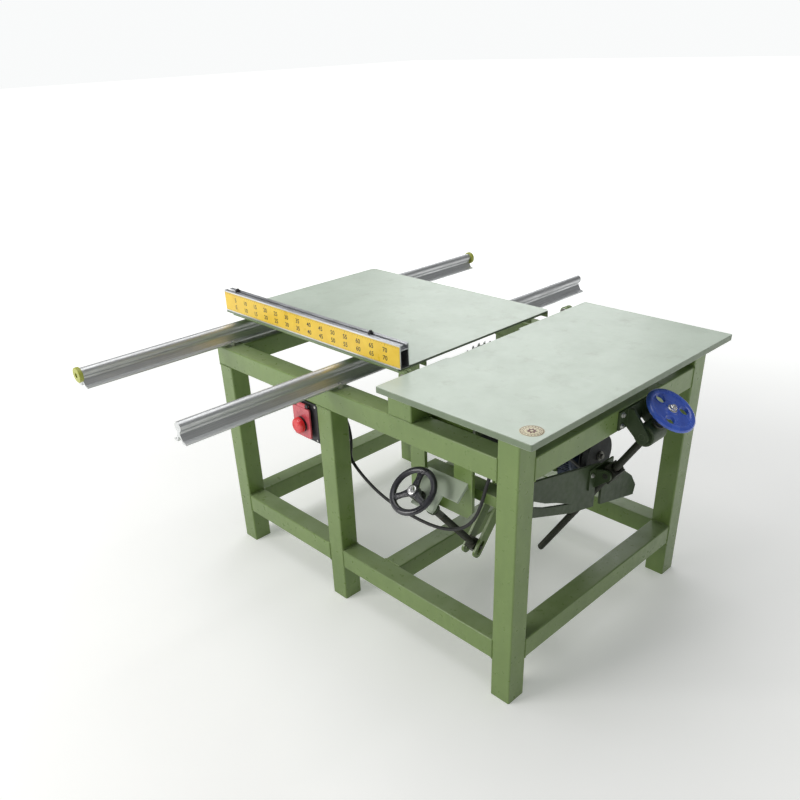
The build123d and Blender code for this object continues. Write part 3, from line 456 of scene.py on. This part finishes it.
def weld_square(axis, along, centre_a, centre_b, half_a=30.0, half_b=30.0, size=2.3):
    """Bead round one tube end that meets a face; axis is the tube's direction."""
    corners = []
    for a, b in ((-1, -1), (1, -1), (1, 1), (-1, 1)):
        a, b = centre_a + a * half_a, centre_b + b * half_b
        corners.append((along, a, b) if axis == "x" else (a, along, b) if axis == "y" else (a, b, along))
    points = weld_path(corners)
    welds.tube([at(*p) for p in points], [r * MM for r in ripple(points, size)], 7, closed=True)


for y in (30.0, DEPTH - 30.0):
    for x in (60.0, 472.0, 532.0, 1100.0):
        weld_square("x", x, y, 148.0)
    weld_square("x", 1100.0, y, 658.0)
    for x in (30.0, 502.0):
        weld_square("z", 628.0, x, y)
    weld_square("z", 688.0, 798.0, y, half_a=40.0)
for y in (60.0, DEPTH - 60.0):
    for x, z in ((30.0, 148.0), (682.0, 148.0), (1130.0, 148.0), (30.0, 658.0), (1130.0, 658.0)):
        weld_square("y", y, x, z)
# Beads under the fixed table, along the posts and legs.
for x, half_x in ((798.0, 40.0), (1130.0, 30.0)):
    for y in (30.0, DEPTH - 30.0):
        weld_square("z", 764.0, x, y, half_a=half_x, size=1.8)
welds.make("weld_beads", "frame", "frame_paint", frame_paint)

# Square-cut feet: thin caps inside the leg tubes, a little above the floor.
feet = Shape()
for x in (30.0, 502.0, 1130.0):
    for y in (30.0, DEPTH - 30.0):
        feet.box(place(at(x, y, 0), (0, 0, 1), (1, 0, 0)), (0, 0, 3), (54.6, 54.6, 4))
feet.make("foot_plugs", "frame", "frame_paint", frame_paint, bevel=0.8)

# ---------------------------------------------------------------- fence tape, cap and screws
tape = Shape()
FENCE_FRONT, FENCE_LOW = 64.0, 779.0
tape_face = place(at(-18, FENCE_FRONT, FENCE_LOW), (0, -1, 0), (1, 0, 0))
tape.box(tape_face, (380, 30.5, 0.1), (757, 54, 0.5))


def marks():
    """Ruler marks and two rows of short dashes along the tape."""
    x = 6.0
    while x < 752:
        deep = 7.0 if round(x - 6) % 50 == 0 else 4.6 if round(x - 6) % 10 == 0 else 2.8
        tape.box(tape_face, (x, 57.0 - deep / 2, 0.35), (0.7, deep, 0.14), look=1)
        tape.box(tape_face, (x, 4.6 + deep * 0.3, 0.35), (0.6, deep * 0.6, 0.14), look=1)
        x += 5.0


marks()
tape.make("fence_tape", "table", "stop_plastic", [tape_yellow, tape_black])


def digits(text, centre, height):
    """Raised print of a number on the tape."""
    curve = bpy.data.curves.new("number_" + text, "FONT")
    curve.body = text
    curve.size = height
    curve.align_x = "CENTER"
    curve.align_y = "CENTER"
    curve.extrude = 0.07
    curve.offset = 0.018 * height
    curve.resolution_u = 3
    obj = bpy.data.objects.new("number_" + text, curve)
    bpy.context.scene.collection.objects.link(obj)
    bpy.context.view_layer.update()
    mesh = bpy.data.meshes.new_from_object(obj.evaluated_get(bpy.context.evaluated_depsgraph_get()))
    bpy.data.objects.remove(obj)
    bpy.data.curves.remove(curve)
    mesh.transform(tape_face @ Matrix.Translation(Vector((*centre, 0.35))))
    return mesh


numbers = bmesh.new()
for count in range(1, 15):
    for row_z in (39.0, 18.0):
        printed = digits(str(count * 5), (6 + count * 50, row_z), 17.0)
        numbers.from_mesh(printed)
        bpy.data.meshes.remove(printed)
number_mesh = bpy.data.meshes.new("tape_numbers")
numbers.to_mesh(number_mesh)
numbers.free()
number_mesh.materials.append(tape_black)
tape_numbers = bpy.data.objects.new("tape_numbers", number_mesh)
bpy.context.scene.collection.objects.link(tape_numbers)
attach(tape_numbers, "table")

# Grooves of the extrusion: three raised lips along the fence's top and back.
lips = Shape()
for y, z, size_y, size_z in ((66.2, 841.25, 3.4, 0.7), (73.6, 841.25, 1.6, 0.7), (84.4, 841.25, 1.6, 0.7),
                             (91.8, 841.25, 3.4, 0.7), (94.3, 800.0, 0.7, 3.0), (94.3, 822.0, 0.7, 3.0)):
    lips.box(place(at(-18, 0, 0), (0, 0, 1), (1, 0, 0)), (380, y, z), (760, size_y, size_z))
lips.make("fence_lips", "table", "fence_aluminium", fence_metal, bevel=0.25)

# ---------------------------------------------------------------- emblem on the fixed table
emblem = Shape()
emblem_place = place(at(1184, 6, 779), (0, 0, 1), (0.7, 0.7, 0))


def disc(shape, matrix, radius, low, high, look, steps=64):
    shape.lathe(matrix, ((0.01, low), (radius - 0.15, low), (radius, low + 0.05), (radius, high - 0.08),
                         (radius - 0.2, high), (0.01, high)), steps, look=look)


disc(emblem, emblem_place, 26.0, 0.0, 0.45, 0)
for outer, inner in ((24.6, 23.4), (17.0, 16.2)):
    emblem.lathe(emblem_place, ((inner, 0.4), (outer, 0.4), (outer, 0.55), (inner, 0.55)), 64,
                 look=1, closed=True)
for k in range(18):
    turn = emblem_place @ Matrix.Rotation(2 * pi * k / 18, 4, "Z")
    emblem.box(turn, (20.2, 0, 0.5), (2.6, 2.2, 0.12), look=1)
petals = [(r * cos(a), r * sin(a)) for k in range(16)
          for r, a in [((12.6 if k % 2 else 7.0), 2 * pi * k / 16)]]
emblem.prism(emblem_place, petals, 0.4, 0.58, look=1)
disc(emblem, emblem_place, 3.6, 0.4, 0.66, 0, 32)
emblem.make("round_emblem", "frame", "table_paint", [cream_print, brown_print])

# ---------------------------------------------------------------- lead screws
LIFT_START = at(850, -12, 513)
LIFT_ANGLE = radians(49.83)
LIFT_DIR = Vector((0, cos(LIFT_ANGLE), -sin(LIFT_ANGLE)))
SWIVEL = at(1209, 459, 618)
TILT_DIR = (at(1117, 459, 471) - SWIVEL).normalized()
WHEEL_REACH = 85.0
TILT_START = SWIVEL - TILT_DIR * WHEEL_REACH * MM


def threaded_rod(name, body, origin, direction, x, spans, looks, slot, collars):
    """Rod with rolled trapezoidal thread between the given spans, smooth elsewhere."""
    rod = Shape()
    matrix = place(origin, direction, x)
    pitch, steps, root, crest = 4.0, 28, 8.6, 10.0
    for low, high, threaded in spans:
        if not threaded:
            rod.lathe(matrix, ((0.01, low), (9.2, low), (9.9, low + 0.8), (9.9, high - 0.3), (9.2, high),
                               (0.01, high)), 40)
            continue
        rows = []
        count = int((high - low) / pitch * 8)
        for i in range(count + 1):
            height = low + (high - low) * i / count
            fade = min(1.0, (height - low) / 3.0, (high - height) / 3.0)
            row = []
            for j in range(steps):
                phase = (height / pitch - j / steps) % 1.0
                tooth = min(1.0, max(0.0, (0.5 - abs(phase - 0.5)) * 4 - 0.45))
                radius = root + (crest - root) * tooth - (1 - max(0.0, fade)) * 0.8
                row.append(matrix @ Vector((radius * cos(2 * pi * j / steps),
                                            radius * sin(2 * pi * j / steps), height)))
            rows.append(row)
        rod.grid(rows, steps, look=1)
    for low, high in collars:
        rod.lathe(matrix, ((0.01, low), (15.0, low), (16.0, low + 1), (16.0, high - 1), (15.0, high),
                           (0.01, high)), 40)
        turn = matrix @ Matrix.Rotation(radians(90), 4, "X")
        rod.lathe(turn @ Matrix.Translation(Vector((0, (low + high) / 2, 0))),
                  ((0.01, 15.0), (2.6, 15.0), (2.6, 16.3), (2.2, 16.5), (1.2, 16.5), (1.1, 15.6),
                   (0.01, 15.6)), 12)
    return rod.make(name, body, slot, looks)


lift_rod = threaded_rod("lift_screw_thread", "lift_screw", LIFT_START, LIFT_DIR, (1, 0, 0),
                        ((6, 150, False), (150, 399, True)), [black_screw_steel, black_screw_steel],
                        "plain_steel", ((31, 38), (109, 116)))
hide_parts("lift_screw")
tilt_rod = threaded_rod("tilt_screw_thread", "tilt_screw", TILT_START, TILT_DIR, (0, 1, 0),
                        ((6, 120, False), (120, 655, True)), [black_screw_steel, black_screw_steel],
                        "plain_steel", ((48, 55), (115, 122)))
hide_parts("tilt_screw")

# ---------------------------------------------------------------- hand wheels
RIM = 58.0


def wheel_nut(name, body, matrix):
    """Plain nut and washer in the middle of a hand wheel, with the screw's end."""
    nut = Shape()
    nut.lathe(matrix, ((0.01, 5.6), (12.0, 5.6), (12.4, 6.1), (12.4, 7.2), (11.8, 7.6), (0.01, 7.6)), 36)
    rows = [[matrix @ Vector((r * cos(pi * j / 3), r * sin(pi * j / 3), h)) for j in range(6)]
            for r, h in ((9.4, 7.4), (9.4, 13.0), (8.2, 14.2), (0.01, 14.2))]
    nut.grid(rows, 6, smooth=False)
    nut.lathe(matrix, ((0.01, 14.0), (5.2, 14.0), (5.2, 16.6), (4.4, 17.4), (0.01, 17.4)), 24)
    return nut.make(name, body, "zinc_steel", bright_steel, bevel=0.3)


def rim_ring(shape, matrix, steps=96, around=20):
    """Rim with finger hollows pressed into its back."""
    rows = []
    for j in range(steps):
        a = 2 * pi * j / steps
        row = []
        for k in range(around):
            b = 2 * pi * k / around
            radial, axial = 8.9 * cos(b), 7.1 * sin(b)
            if axial < 0:
                axial *= 1 - 0.16 * (0.5 + 0.5 * cos(a * 24))
            row.append(matrix @ Vector(((RIM + radial) * cos(a), (RIM + radial) * sin(a), axial)))
        rows.append(row)
    shape.grid(rows, around, closed_rows=True)


def hub(shape, matrix):
    shape.lathe(matrix, ((0.01, -15.5), (15.6, -15.5), (16.8, -14), (16.8, 3.5), (15.4, 5.8),
                         (0.01, 5.8)), 48)


# Black wheel: three spokes that widen at both ends.
lift_face = place(LIFT_START, -LIFT_DIR, (1, 0, 0))
black_wheel = Shape()
rim_ring(black_wheel, lift_face)
hub(black_wheel, lift_face)
for k in range(3):
    spoke = lift_face @ Matrix.Rotation(radians(100 + 120 * k), 4, "Z")
    outline = ((6, -12), (20, -9.0), (34, -7.2), (46, -8.4), (58, -12.5), (58, 12.5), (46, 8.4), (34, 7.2),
               (20, 9.0), (6, 12))
    black_wheel.prism(spoke, outline, -4.8, 2.8)
    black_wheel.prism(spoke, ((6, -3.0), (52, -2.2), (52, 2.2), (6, 3.0)), 0.5, 4.4)
black_wheel = melted(black_wheel.make("lift_hand_wheel", "lift_screw", "black_plastic", wheel_plastic), 1.15)
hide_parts("lift_wheel")
wheel_nut("lift_wheel_nut", "lift_screw", lift_face)

# Blue wheel: dished disc with three round holes, each with a raised lip.
tilt_face = place(TILT_START, -TILT_DIR, (0, 1, 0))
blue_wheel = Shape()
rim_ring(blue_wheel, tilt_face)
hub(blue_wheel, tilt_face)
hole_angles = [radians(90 + 120 * k) for k in range(3)]
HOLE_REACH, HOLE_RADIUS = 37.0, 13.0
for k in range(3):
    middle = radians(150 + 120 * k)
    steps = 18
    outline = []
    for i in range(steps + 1):
        a = middle - radians(60) + radians(120) * i / steps
        r = RIM
        outline.append((r * cos(a), r * sin(a)))
    for i in range(steps + 1):
        # Back along the hole edges and the hub, so that the sector stops at both holes.
        a = middle + radians(60) - radians(120) * i / steps
        outline.append((12 * cos(a), 12 * sin(a)))
    blue_wheel.prism(tilt_face, outline, -4.8, 2.6)
blue_wheel = blue_wheel.make("tilt_hand_wheel", "tilt_screw", "blue_plastic", blue_plastic)
cutter = Shape()
for a in hole_angles:
    cutter.lathe(tilt_face @ Matrix.Translation(Vector((HOLE_REACH * cos(a), HOLE_REACH * sin(a), 0))),
                 ((0.01, -12), (HOLE_RADIUS, -12), (HOLE_RADIUS, 12), (0.01, 12)), 48)
cutter_mesh = cutter.make("wheel_cutter", "tilt_screw", "blue_plastic", blue_plastic)
melted(blue_wheel, 1.15, 4)
cut = blue_wheel.modifiers.new("holes", "BOOLEAN")
cut.operation = "DIFFERENCE"
cut.solver = "EXACT"
cut.object = cutter_mesh
bpy.context.view_layer.update()
drilled = bpy.data.meshes.new_from_object(blue_wheel.evaluated_get(bpy.context.evaluated_depsgraph_get()))
blue_wheel.modifiers.clear()
blue_wheel.data = drilled
bpy.data.objects.remove(cutter_mesh)
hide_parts("tilt_wheel")
lips_ring = Shape()
for a in hole_angles:
    lip = tilt_face @ Matrix.Translation(Vector((HOLE_REACH * cos(a), HOLE_REACH * sin(a), 0)))
    lips_ring.lathe(lip, ((HOLE_RADIUS - 0.4, 2.0), (HOLE_RADIUS - 0.4, 3.4), (HOLE_RADIUS + 0.4, 4.1),
                          (HOLE_RADIUS + 1.8, 4.1), (HOLE_RADIUS + 2.6, 3.2), (HOLE_RADIUS + 2.6, 2.0)),
                    40, closed=True)
lips_ring.make("tilt_wheel_lips", "tilt_screw", "blue_plastic", blue_plastic)
wheel_nut("tilt_wheel_nut", "tilt_screw", tilt_face)

# ---------------------------------------------------------------- motor
MOTOR_Y, MOTOR_Z = 600.0, 420.0
motor_axis = place(at(0, MOTOR_Y, MOTOR_Z), (1, 0, 0), (0, 1, 0))
motor = Shape()
fins = []
FIN_COUNT = 44
for k in range(FIN_COUNT):
    a, w = 2 * pi * k / FIN_COUNT, 2 * pi / FIN_COUNT
    for share, r in ((-0.5, 68.5), (-0.2, 68.5), (-0.13, 74.6), (0.13, 74.6), (0.2, 68.5)):
        fins.append((r * cos(a + share * w), r * sin(a + share * w)))
motor.prism(motor_axis, fins, 822, 946)
motor.lathe(motor_axis, ((0.01, 944), (14.2, 955), (30, 955), (34, 952), (58, 951), (70, 948), (74.6, 944),
                         (74.6, 938), (60, 938), (0.01, 938)), 72)
motor.lathe(motor_axis, ((0.01, 811), (24, 810), (62, 811), (70, 813), (74, 818), (74.6, 824), (74.6, 834),
                         (60, 834), (0.01, 834)), 72)
for k in range(5):
    motor.lathe(motor_axis, ((20 + k * 9, 809.2), (22 + k * 9, 809.2), (22 + k * 9, 812), (20 + k * 9, 812)),
                64, closed=True)
for k in range(4):
    a = radians(45 + 90 * k)
    boss = motor_axis @ Matrix.Translation(Vector((64 * cos(a), 64 * sin(a), 944)))
    motor.lathe(boss, ((0.01, 0), (8, 0), (7.4, 7), (0.01, 7)), 20)
    motor.bolt(boss @ Matrix.Translation(Vector((0, 0, 6.5))), 3.6, 2.8, washer=False, look=1)
box_place = place(at(878, 608, 331), (0, 0, 1), (1, 0, 0))
motor.box(box_place, (35, 0, 2), (70, 90, 40))
motor.box(box_place, (35, 0, -19.5), (66, 86, 4.5))
for x in (6, 64):
    for y in (-38, 38):
        motor.bolt(box_place @ Matrix.Translation(Vector((x, y, -21.5))) @ Matrix.Rotation(pi, 4, "X"),
                   2.8, 1.8, washer=False, look=1)
motor = motor.make("finned_motor", "arm", "motor_paint", [motor_paint, zinc_steel], bevel=0.5)
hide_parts("motor")

# ---------------------------------------------------------------- fasteners
UP, DOWN = (0, 0, 1), (0, 0, -1)
OUT_RIGHT, OUT_LEFT, OUT_FRONT, OUT_BACK = (1, 0, 0), (-1, 0, 0), (0, -1, 0), (0, 1, 0)


def bolts(name, body, spots, radius=5.5, look=None, washer=True):
    """Hexagon bolts at (x, y, z, direction) places."""
    shape = Shape()
    for x, y, z, direction in spots:
        turn = Matrix.Rotation(rng.uniform(0, pi / 3), 4, "Z")
        shape.bolt(place(at(x, y, z), direction) @ turn, radius, radius * 0.8, washer)
    return shape.make(name, body, "zinc_steel", look or zinc_steel, bevel=0.25)


bolts("tilt_bracket_bolts", "frame", [(1166, y, z, OUT_RIGHT) for y in (396, 522) for z in (643, 673)])
bolts("side_plate_bolts", "carriage",
      [(1082, y, z, OUT_RIGHT) for y, z in ((128, 497), (128, 523), (150, 489), (150, 515))], 5.0)
bolts("nut_bracket_bolts", "carriage", [(1087, y, 467, OUT_RIGHT) for y in (415, 503)], 5.0)
bolts("rear_plate_bolts", "carriage", [(x, 738, z, OUT_BACK) for x in (796, 902) for z in (650, 460)], 5.5)
bolts("front_plate_bolts", "carriage",
      [(x, 76, z, OUT_FRONT) for x, z in ((776, 460), (925, 660), (782, 660))], 5.5)
bolts("arm_pin_nuts", "carriage", [(784, 560, 640, OUT_LEFT), (917, 560, 640, OUT_RIGHT)], 9.0)
bolts("saddle_screws", "table", [(x, y, 760, DOWN) for x in (490, 564) for y in (175, 193, 549, 567)], 3.2)
bolts("pulley_nut", "arbor", [(996, 346, 624, OUT_RIGHT)], 9.5, plain_steel)
bolts("motor_pulley_nut", "motor_rotor", [(996, 600, 420, OUT_RIGHT)], 8.5, plain_steel)
bolts("stop_screws", "frame", [(25, -441, 733, OUT_FRONT), (25, 1131, 733, OUT_BACK)], 4.0, washer=False)

pin_rings = Shape()
for y, direction in ((90, OUT_BACK), (724, OUT_FRONT)):
    ring = place(at(751, y, 764), direction, UP)
    pin_rings.lathe(ring, ((7.6, -3.2), (11.0, -3.2), (11.0, -1.8), (7.6, -1.8)), 32, closed=True)
pin_rings.make("pivot_pin_rings", "frame", "zinc_steel", zinc_steel)

# Concentric steps on the swivel housing's ends.
steps_shape = Shape()
for y, direction in ((429, OUT_FRONT), (489, OUT_BACK)):
    end = place(at(1209, y, 618), direction, UP)
    for inner, outer, high in ((20.5, 26.6, 0.9), (12.0, 15.6, 1.5)):
        steps_shape.lathe(end, ((inner, -0.3), (outer, -0.3), (outer, high - 0.3), (outer - 0.4, high),
                                (inner + 0.4, high), (inner, high - 0.3)), 56, closed=True)
steps_shape.make("swivel_steps", "tilt_swivel", "mechanism_paint", mechanism_paint)

# Two raised bands and a grease nipple on the lift screw's sleeve.
bearing = Shape()
lift_axis = place(LIFT_START, LIFT_DIR, (1, 0, 0))
for low, high, radius in ((62.0, 67.0, 16.8), (101.0, 107.0, 17.2)):
    bearing.lathe(lift_axis, ((14.4, low), (radius - 0.6, low), (radius, low + 0.6), (radius, high - 0.6),
                              (radius - 0.6, high), (14.4, high)), 56, closed=True)
bearing.make("bearing_bands", "carriage", "mechanism_paint", mechanism_paint)
nipple = Shape()
nipple.lathe(lift_axis @ Matrix.Translation(Vector((0, -14.5, 84))) @ Matrix.Rotation(radians(90), 4, "X"),
             ((0.01, 0), (3.4, 0), (3.4, 3), (2.2, 4), (2.2, 6), (3.0, 7.4), (1.4, 9.4), (0.01, 9.4)), 20)
nipple.make("grease_nipple", "carriage", "zinc_steel", zinc_steel)

# Weld beads on the carriage, in its paint made darker as painted shade.
carriage_welds = Shape()


def bead(shape, points, size=2.2):
    dense = []
    for a, b in zip(points, points[1:]):
        a, b = Vector(a), Vector(b)
        count = max(2, int((b - a).length / 1.6))
        dense += [a.lerp(b, k / count) for k in range(count)]
    dense.append(Vector(points[-1]))
    shape.tube([at(*p) for p in dense], [r * MM for r in ripple(dense, size)], 7)


for y in (86.0, 728.0):
    bead(carriage_welds, [(760, y, 474), (800, y, 474), (800, y, 434), (760, y, 434), (760, y, 474)])
for y in (112.0, 162.0):
    bead(carriage_welds, [(1074, y, 474), (1074, y, 504)])
for z in (474.0, 504.0):
    bead(carriage_welds, [(1074, 112, z), (1074, 162, z)])
for x in (786.0, 811.0, 890.0, 915.0):
    bead(carriage_welds, [(x, 728, 620), (x, 728, 660)])
bead(carriage_welds, [(1082, 404, 479), (1082, 514, 479)], 1.8)
bead(carriage_welds, [(908, 75.4, 527), (951, 75.4, 527)], 1.8)
# Ring where the lift screw's sleeve meets its bracket.
sleeve_ring = [lift_axis @ Vector((15.4 * cos(2 * pi * k / 96), 15.4 * sin(2 * pi * k / 96), 48.6))
               for k in range(96)]
sleeve_radii = [r * MM for r in ripple([p / MM for p in sleeve_ring], 1.5)]
carriage_welds.tube(sleeve_ring, sleeve_radii, 7, closed=True)
carriage_welds.make("carriage_weld_beads", "carriage", "mechanism_paint", mechanism_paint)
# Rings where the arbor's housing passes through the arm's two plates.
ARBOR_Y, ARBOR_Z, HOUSING_RADIUS = 346, 624, 35
RING_POINTS = 120
arm_welds = Shape()
for x in (825.5, 874.5):
    ring = []
    for k in range(RING_POINTS):
        turn = 2 * pi * k / RING_POINTS
        ring.append(Vector((x, ARBOR_Y + (HOUSING_RADIUS + 0.8) * cos(turn),
                            ARBOR_Z + (HOUSING_RADIUS + 0.8) * sin(turn))))
    arm_welds.tube([at(*p) for p in ring], [r * MM for r in ripple(ring, 2.0)], 7, closed=True)
arm_welds.make("arm_weld_beads", "arm", "mechanism_paint", mechanism_paint)

# ---------------------------------------------------------------- switch
switch_trim = Shape()
face = place(at(415.5, 0, 567), OUT_FRONT, (1, 0, 0))
for sx in (-48, 48):
    for sz in (-50.5, 50.5):
        screw = face @ Matrix.Translation(Vector((sx, sz, -0.2)))
        switch_trim.lathe(screw, ((0.01, 0), (3.3, 0), (3.3, 0.8), (2.4, 1.5), (0.01, 1.6)), 24, look=1)
        switch_trim.box(screw @ Matrix.Rotation(radians(33), 4, "Z"), (0, 0, 1.55), (4.6, 0.8, 0.25), look=0)
# Seam of the cover all round the box.
seam = [(-56.8, -59.3), (56.8, -59.3), (56.8, 59.3), (-56.8, 59.3)]
switch_trim.tube([face @ Vector((x, z, -12)) for x, z in seam], 0.7 * MM, 6, closed=True)
switch_trim.make("switch_trim", "frame", "black_plastic", [black_plastic, zinc_steel])
collar = Shape()
collar.lathe(place(at(415, -12, 558), OUT_FRONT, (1, 0, 0)),
             ((8.6, -0.2), (21.0, -0.2), (22.5, 0.4), (22.5, 1.1), (21.6, 1.6), (8.6, 1.6)), 56, closed=True)
collar.make("button_collar", "switch_flap", "black_plastic", black_plastic)
# Three turning arrows on the stop button's face.
cap = Shape()
button_face = place(at(415, -33, 558), OUT_FRONT, (1, 0, 0))
for k in range(3):
    first = radians(20 + 120 * k)
    arc = [(13.5 * cos(first + radians(4 * i)), 13.5 * sin(first + radians(4 * i))) for i in range(19)]
    cap.tube([button_face @ Vector((x, z, 0.0)) for x, z in arc], 0.75 * MM, 6)
cap.make("button_arrows", "stop_button", "red_plastic", red_plastic)

# ---------------------------------------------------------------- cable glands and motor lead
glands = Shape()
for origin, direction in ((at(420, 56, 556), OUT_BACK), (at(1022, 76, 632), DOWN)):
    gland = place(origin, direction)
    rows = [[gland @ Vector((r * cos(pi * j / 3), r * sin(pi * j / 3), h)) for j in range(6)]
            for r, h in ((8.4, 0), (8.9, 0.5), (8.9, 5.5), (8.2, 6.0))]
    glands.grid(rows, 6, smooth=False)
    glands.lathe(gland, ((0.01, 5.8), (8.2, 5.8), (8.2, 7.0), (7.6, 10.5), (6.2, 12.6), (5.2, 14.0),
                         (0.01, 14.0)), 32)
    for k in range(12):
        a = 2 * pi * k / 12
        glands.tube([gland @ Vector((8.2 * cos(a), 8.2 * sin(a), 6.2)),
                     gland @ Vector((7.7 * cos(a), 7.7 * sin(a), 10.2))], 0.6 * MM, 5)
glands = glands.make("gland_nuts", "frame", "black_plastic", black_plastic)
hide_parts("cable_glands")

CABLE_ROUTE = ((420, 70, 556), (420, 100, 556), (420, 126, 543), (423, 141, 519), (430, 144, 490),
               (444, 136, 465), (466, 116, 451), (490, 92, 447), (514, 76, 442), (545, 68, 430),
               (585, 67, 407), (626, 67, 389), (672, 67, 376), (730, 67, 368), (790, 67, 365),
               (850, 67, 369), (906, 67, 385), (954, 67, 414), (986, 67, 456), (1004, 67, 505),
               (1014, 69, 550), (1022, 76, 588), (1022, 76, 618))
CABLE_DIAMETER = 0.009
curve = bpy.data.curves.new("motor_cable", "CURVE")
curve.dimensions = "3D"
curve.bevel_depth = CABLE_DIAMETER / 2
curve.bevel_resolution = 5
curve.resolution_u = 16
curve.use_fill_caps = True
spline = curve.splines.new("NURBS")
spline.points.add(len(CABLE_ROUTE) - 1)
for point, place_mm in zip(spline.points, CABLE_ROUTE):
    point.co = (*at(*place_mm), 1.0)
spline.order_u = 3
spline.use_endpoint_u = True
curve.materials.append(cable_rubber)
cable = bpy.data.objects.new("motor_cable", curve)
bpy.context.scene.collection.objects.link(cable)
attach(cable, "frame")
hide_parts("motor_lead")

# ---------------------------------------------------------------- floor, light and camera
def stage_material():
    m, t, s, c = new_material("pale_floor")
    colour = ramp(t, noise(t, c, 1.5, 3.0), ((0.3, (0.90, 0.90, 0.885)), (0.7, (0.93, 0.93, 0.915))))
    t.links.new(colour, s.inputs["Base Color"])
    s.inputs["Roughness"].default_value = 0.9
    s.inputs["Specular IOR Level"].default_value = 0.1
    # The floor glows a little more away from the saw, as a lit paper sweep does.
    distance = t.nodes.new("ShaderNodeVectorMath")
    distance.operation = "LENGTH"
    t.links.new(c, distance.inputs[0])
    s.inputs["Emission Color"].default_value = (0.97, 0.98, 0.97, 1)
    glow = t.nodes.new("ShaderNodeMapRange")
    glow.interpolation_type = "SMOOTHSTEP"
    for key, value in (("From Min", 0.8), ("From Max", 4.5), ("To Min", 0.22), ("To Max", 0.90)):
        glow.inputs[key].default_value = value
    t.links.new(distance.outputs["Value"], glow.inputs["Value"])
    t.links.new(glow.outputs["Result"], s.inputs["Emission Strength"])
    return m


floor_mesh = bpy.data.meshes.new("floor")
FLOOR = 40.0
floor_mesh.from_pydata([(-FLOOR, -FLOOR, -0.0005), (FLOOR, -FLOOR, -0.0005), (FLOOR, FLOOR, -0.0005),
                        (-FLOOR, FLOOR, -0.0005)], [], [(0, 1, 2, 3)])
floor_mesh.materials.append(stage_material())
floor = bpy.data.objects.new("floor", floor_mesh)
bpy.context.scene.collection.objects.link(floor)


def area_light(name, position, aim, size, power, colour=(1, 1, 1)):
    data = bpy.data.lights.new(name, "AREA")
    data.shape = "RECTANGLE"
    data.size, data.size_y = size
    data.energy = power
    data.color = colour
    light = bpy.data.objects.new(name, data)
    light.location = position
    light.rotation_euler = (Vector(aim) - Vector(position)).to_track_quat("-Z", "Y").to_euler()
    bpy.context.scene.collection.objects.link(light)


area_light("top_softbox", (-0.6, 0.0, 4.2), (0, 0, 0.6), (3.4, 3.4), 74)
area_light("front_softbox", (-1.9, -4.2, 2.5), (0, 0, 0.5), (2.4, 2.0), 104, (1.0, 0.99, 0.97))
area_light("back_softbox", (-2.5, 3.5, 2.6), (0, 0, 0.7), (2.2, 1.8), 22, (0.97, 0.985, 1.0))

world = bpy.data.worlds.new("studio")
world.use_nodes = True
# A soft fill lights the saw; the camera sees a brighter sweep behind it.
world_tree = world.node_tree
world_light = world_tree.nodes["Background"]
world_light.inputs["Color"].default_value = (0.97, 0.985, 1.0, 1)
world_light.inputs["Strength"].default_value = 0.22
world_seen = world_tree.nodes.new("ShaderNodeBackground")
world_seen.inputs["Color"].default_value = (0.97, 0.98, 0.98, 1)
world_seen.inputs["Strength"].default_value = 0.98
light_path = world_tree.nodes.new("ShaderNodeLightPath")
world_mix = world_tree.nodes.new("ShaderNodeMixShader")
world_tree.links.new(light_path.outputs["Is Camera Ray"], world_mix.inputs["Fac"])
world_tree.links.new(world_light.outputs["Background"], world_mix.inputs[1])
world_tree.links.new(world_seen.outputs["Background"], world_mix.inputs[2])
world_tree.links.new(world_mix.outputs["Shader"], world_tree.nodes["World Output"].inputs["Surface"])
bpy.context.scene.world = world
bpy.context.scene.view_settings.view_transform = "Standard"

CAMERA_SPOT = Vector((1.3983, -1.5166, 1.4903))
AZIMUTH, ELEVATION, ROLL = radians(46.895), radians(29.487), radians(-2.369)
backwards = Vector((sin(AZIMUTH) * cos(ELEVATION), -cos(AZIMUTH) * cos(ELEVATION), sin(ELEVATION)))
sideways = (-backwards).cross(Vector((0, 0, 1))).normalized()
upwards = sideways.cross(-backwards)
camera_x = sideways * cos(ROLL) + upwards * sin(ROLL)
camera_y = upwards * cos(ROLL) - sideways * sin(ROLL)
camera_data = bpy.data.cameras.new("camera")
camera_data.sensor_width = 36.0
camera_data.lens = 35.256
camera_data.shift_x = 0.00015
camera_data.shift_y = 0.0982
camera_data.clip_end = 100.0
camera = bpy.data.objects.new("camera", camera_data)
camera_turn = Matrix((camera_x, camera_y, backwards)).transposed().to_4x4()
camera.matrix_world = Matrix.Translation(CAMERA_SPOT) @ camera_turn
bpy.context.scene.collection.objects.link(camera)
bpy.context.scene.camera = camera
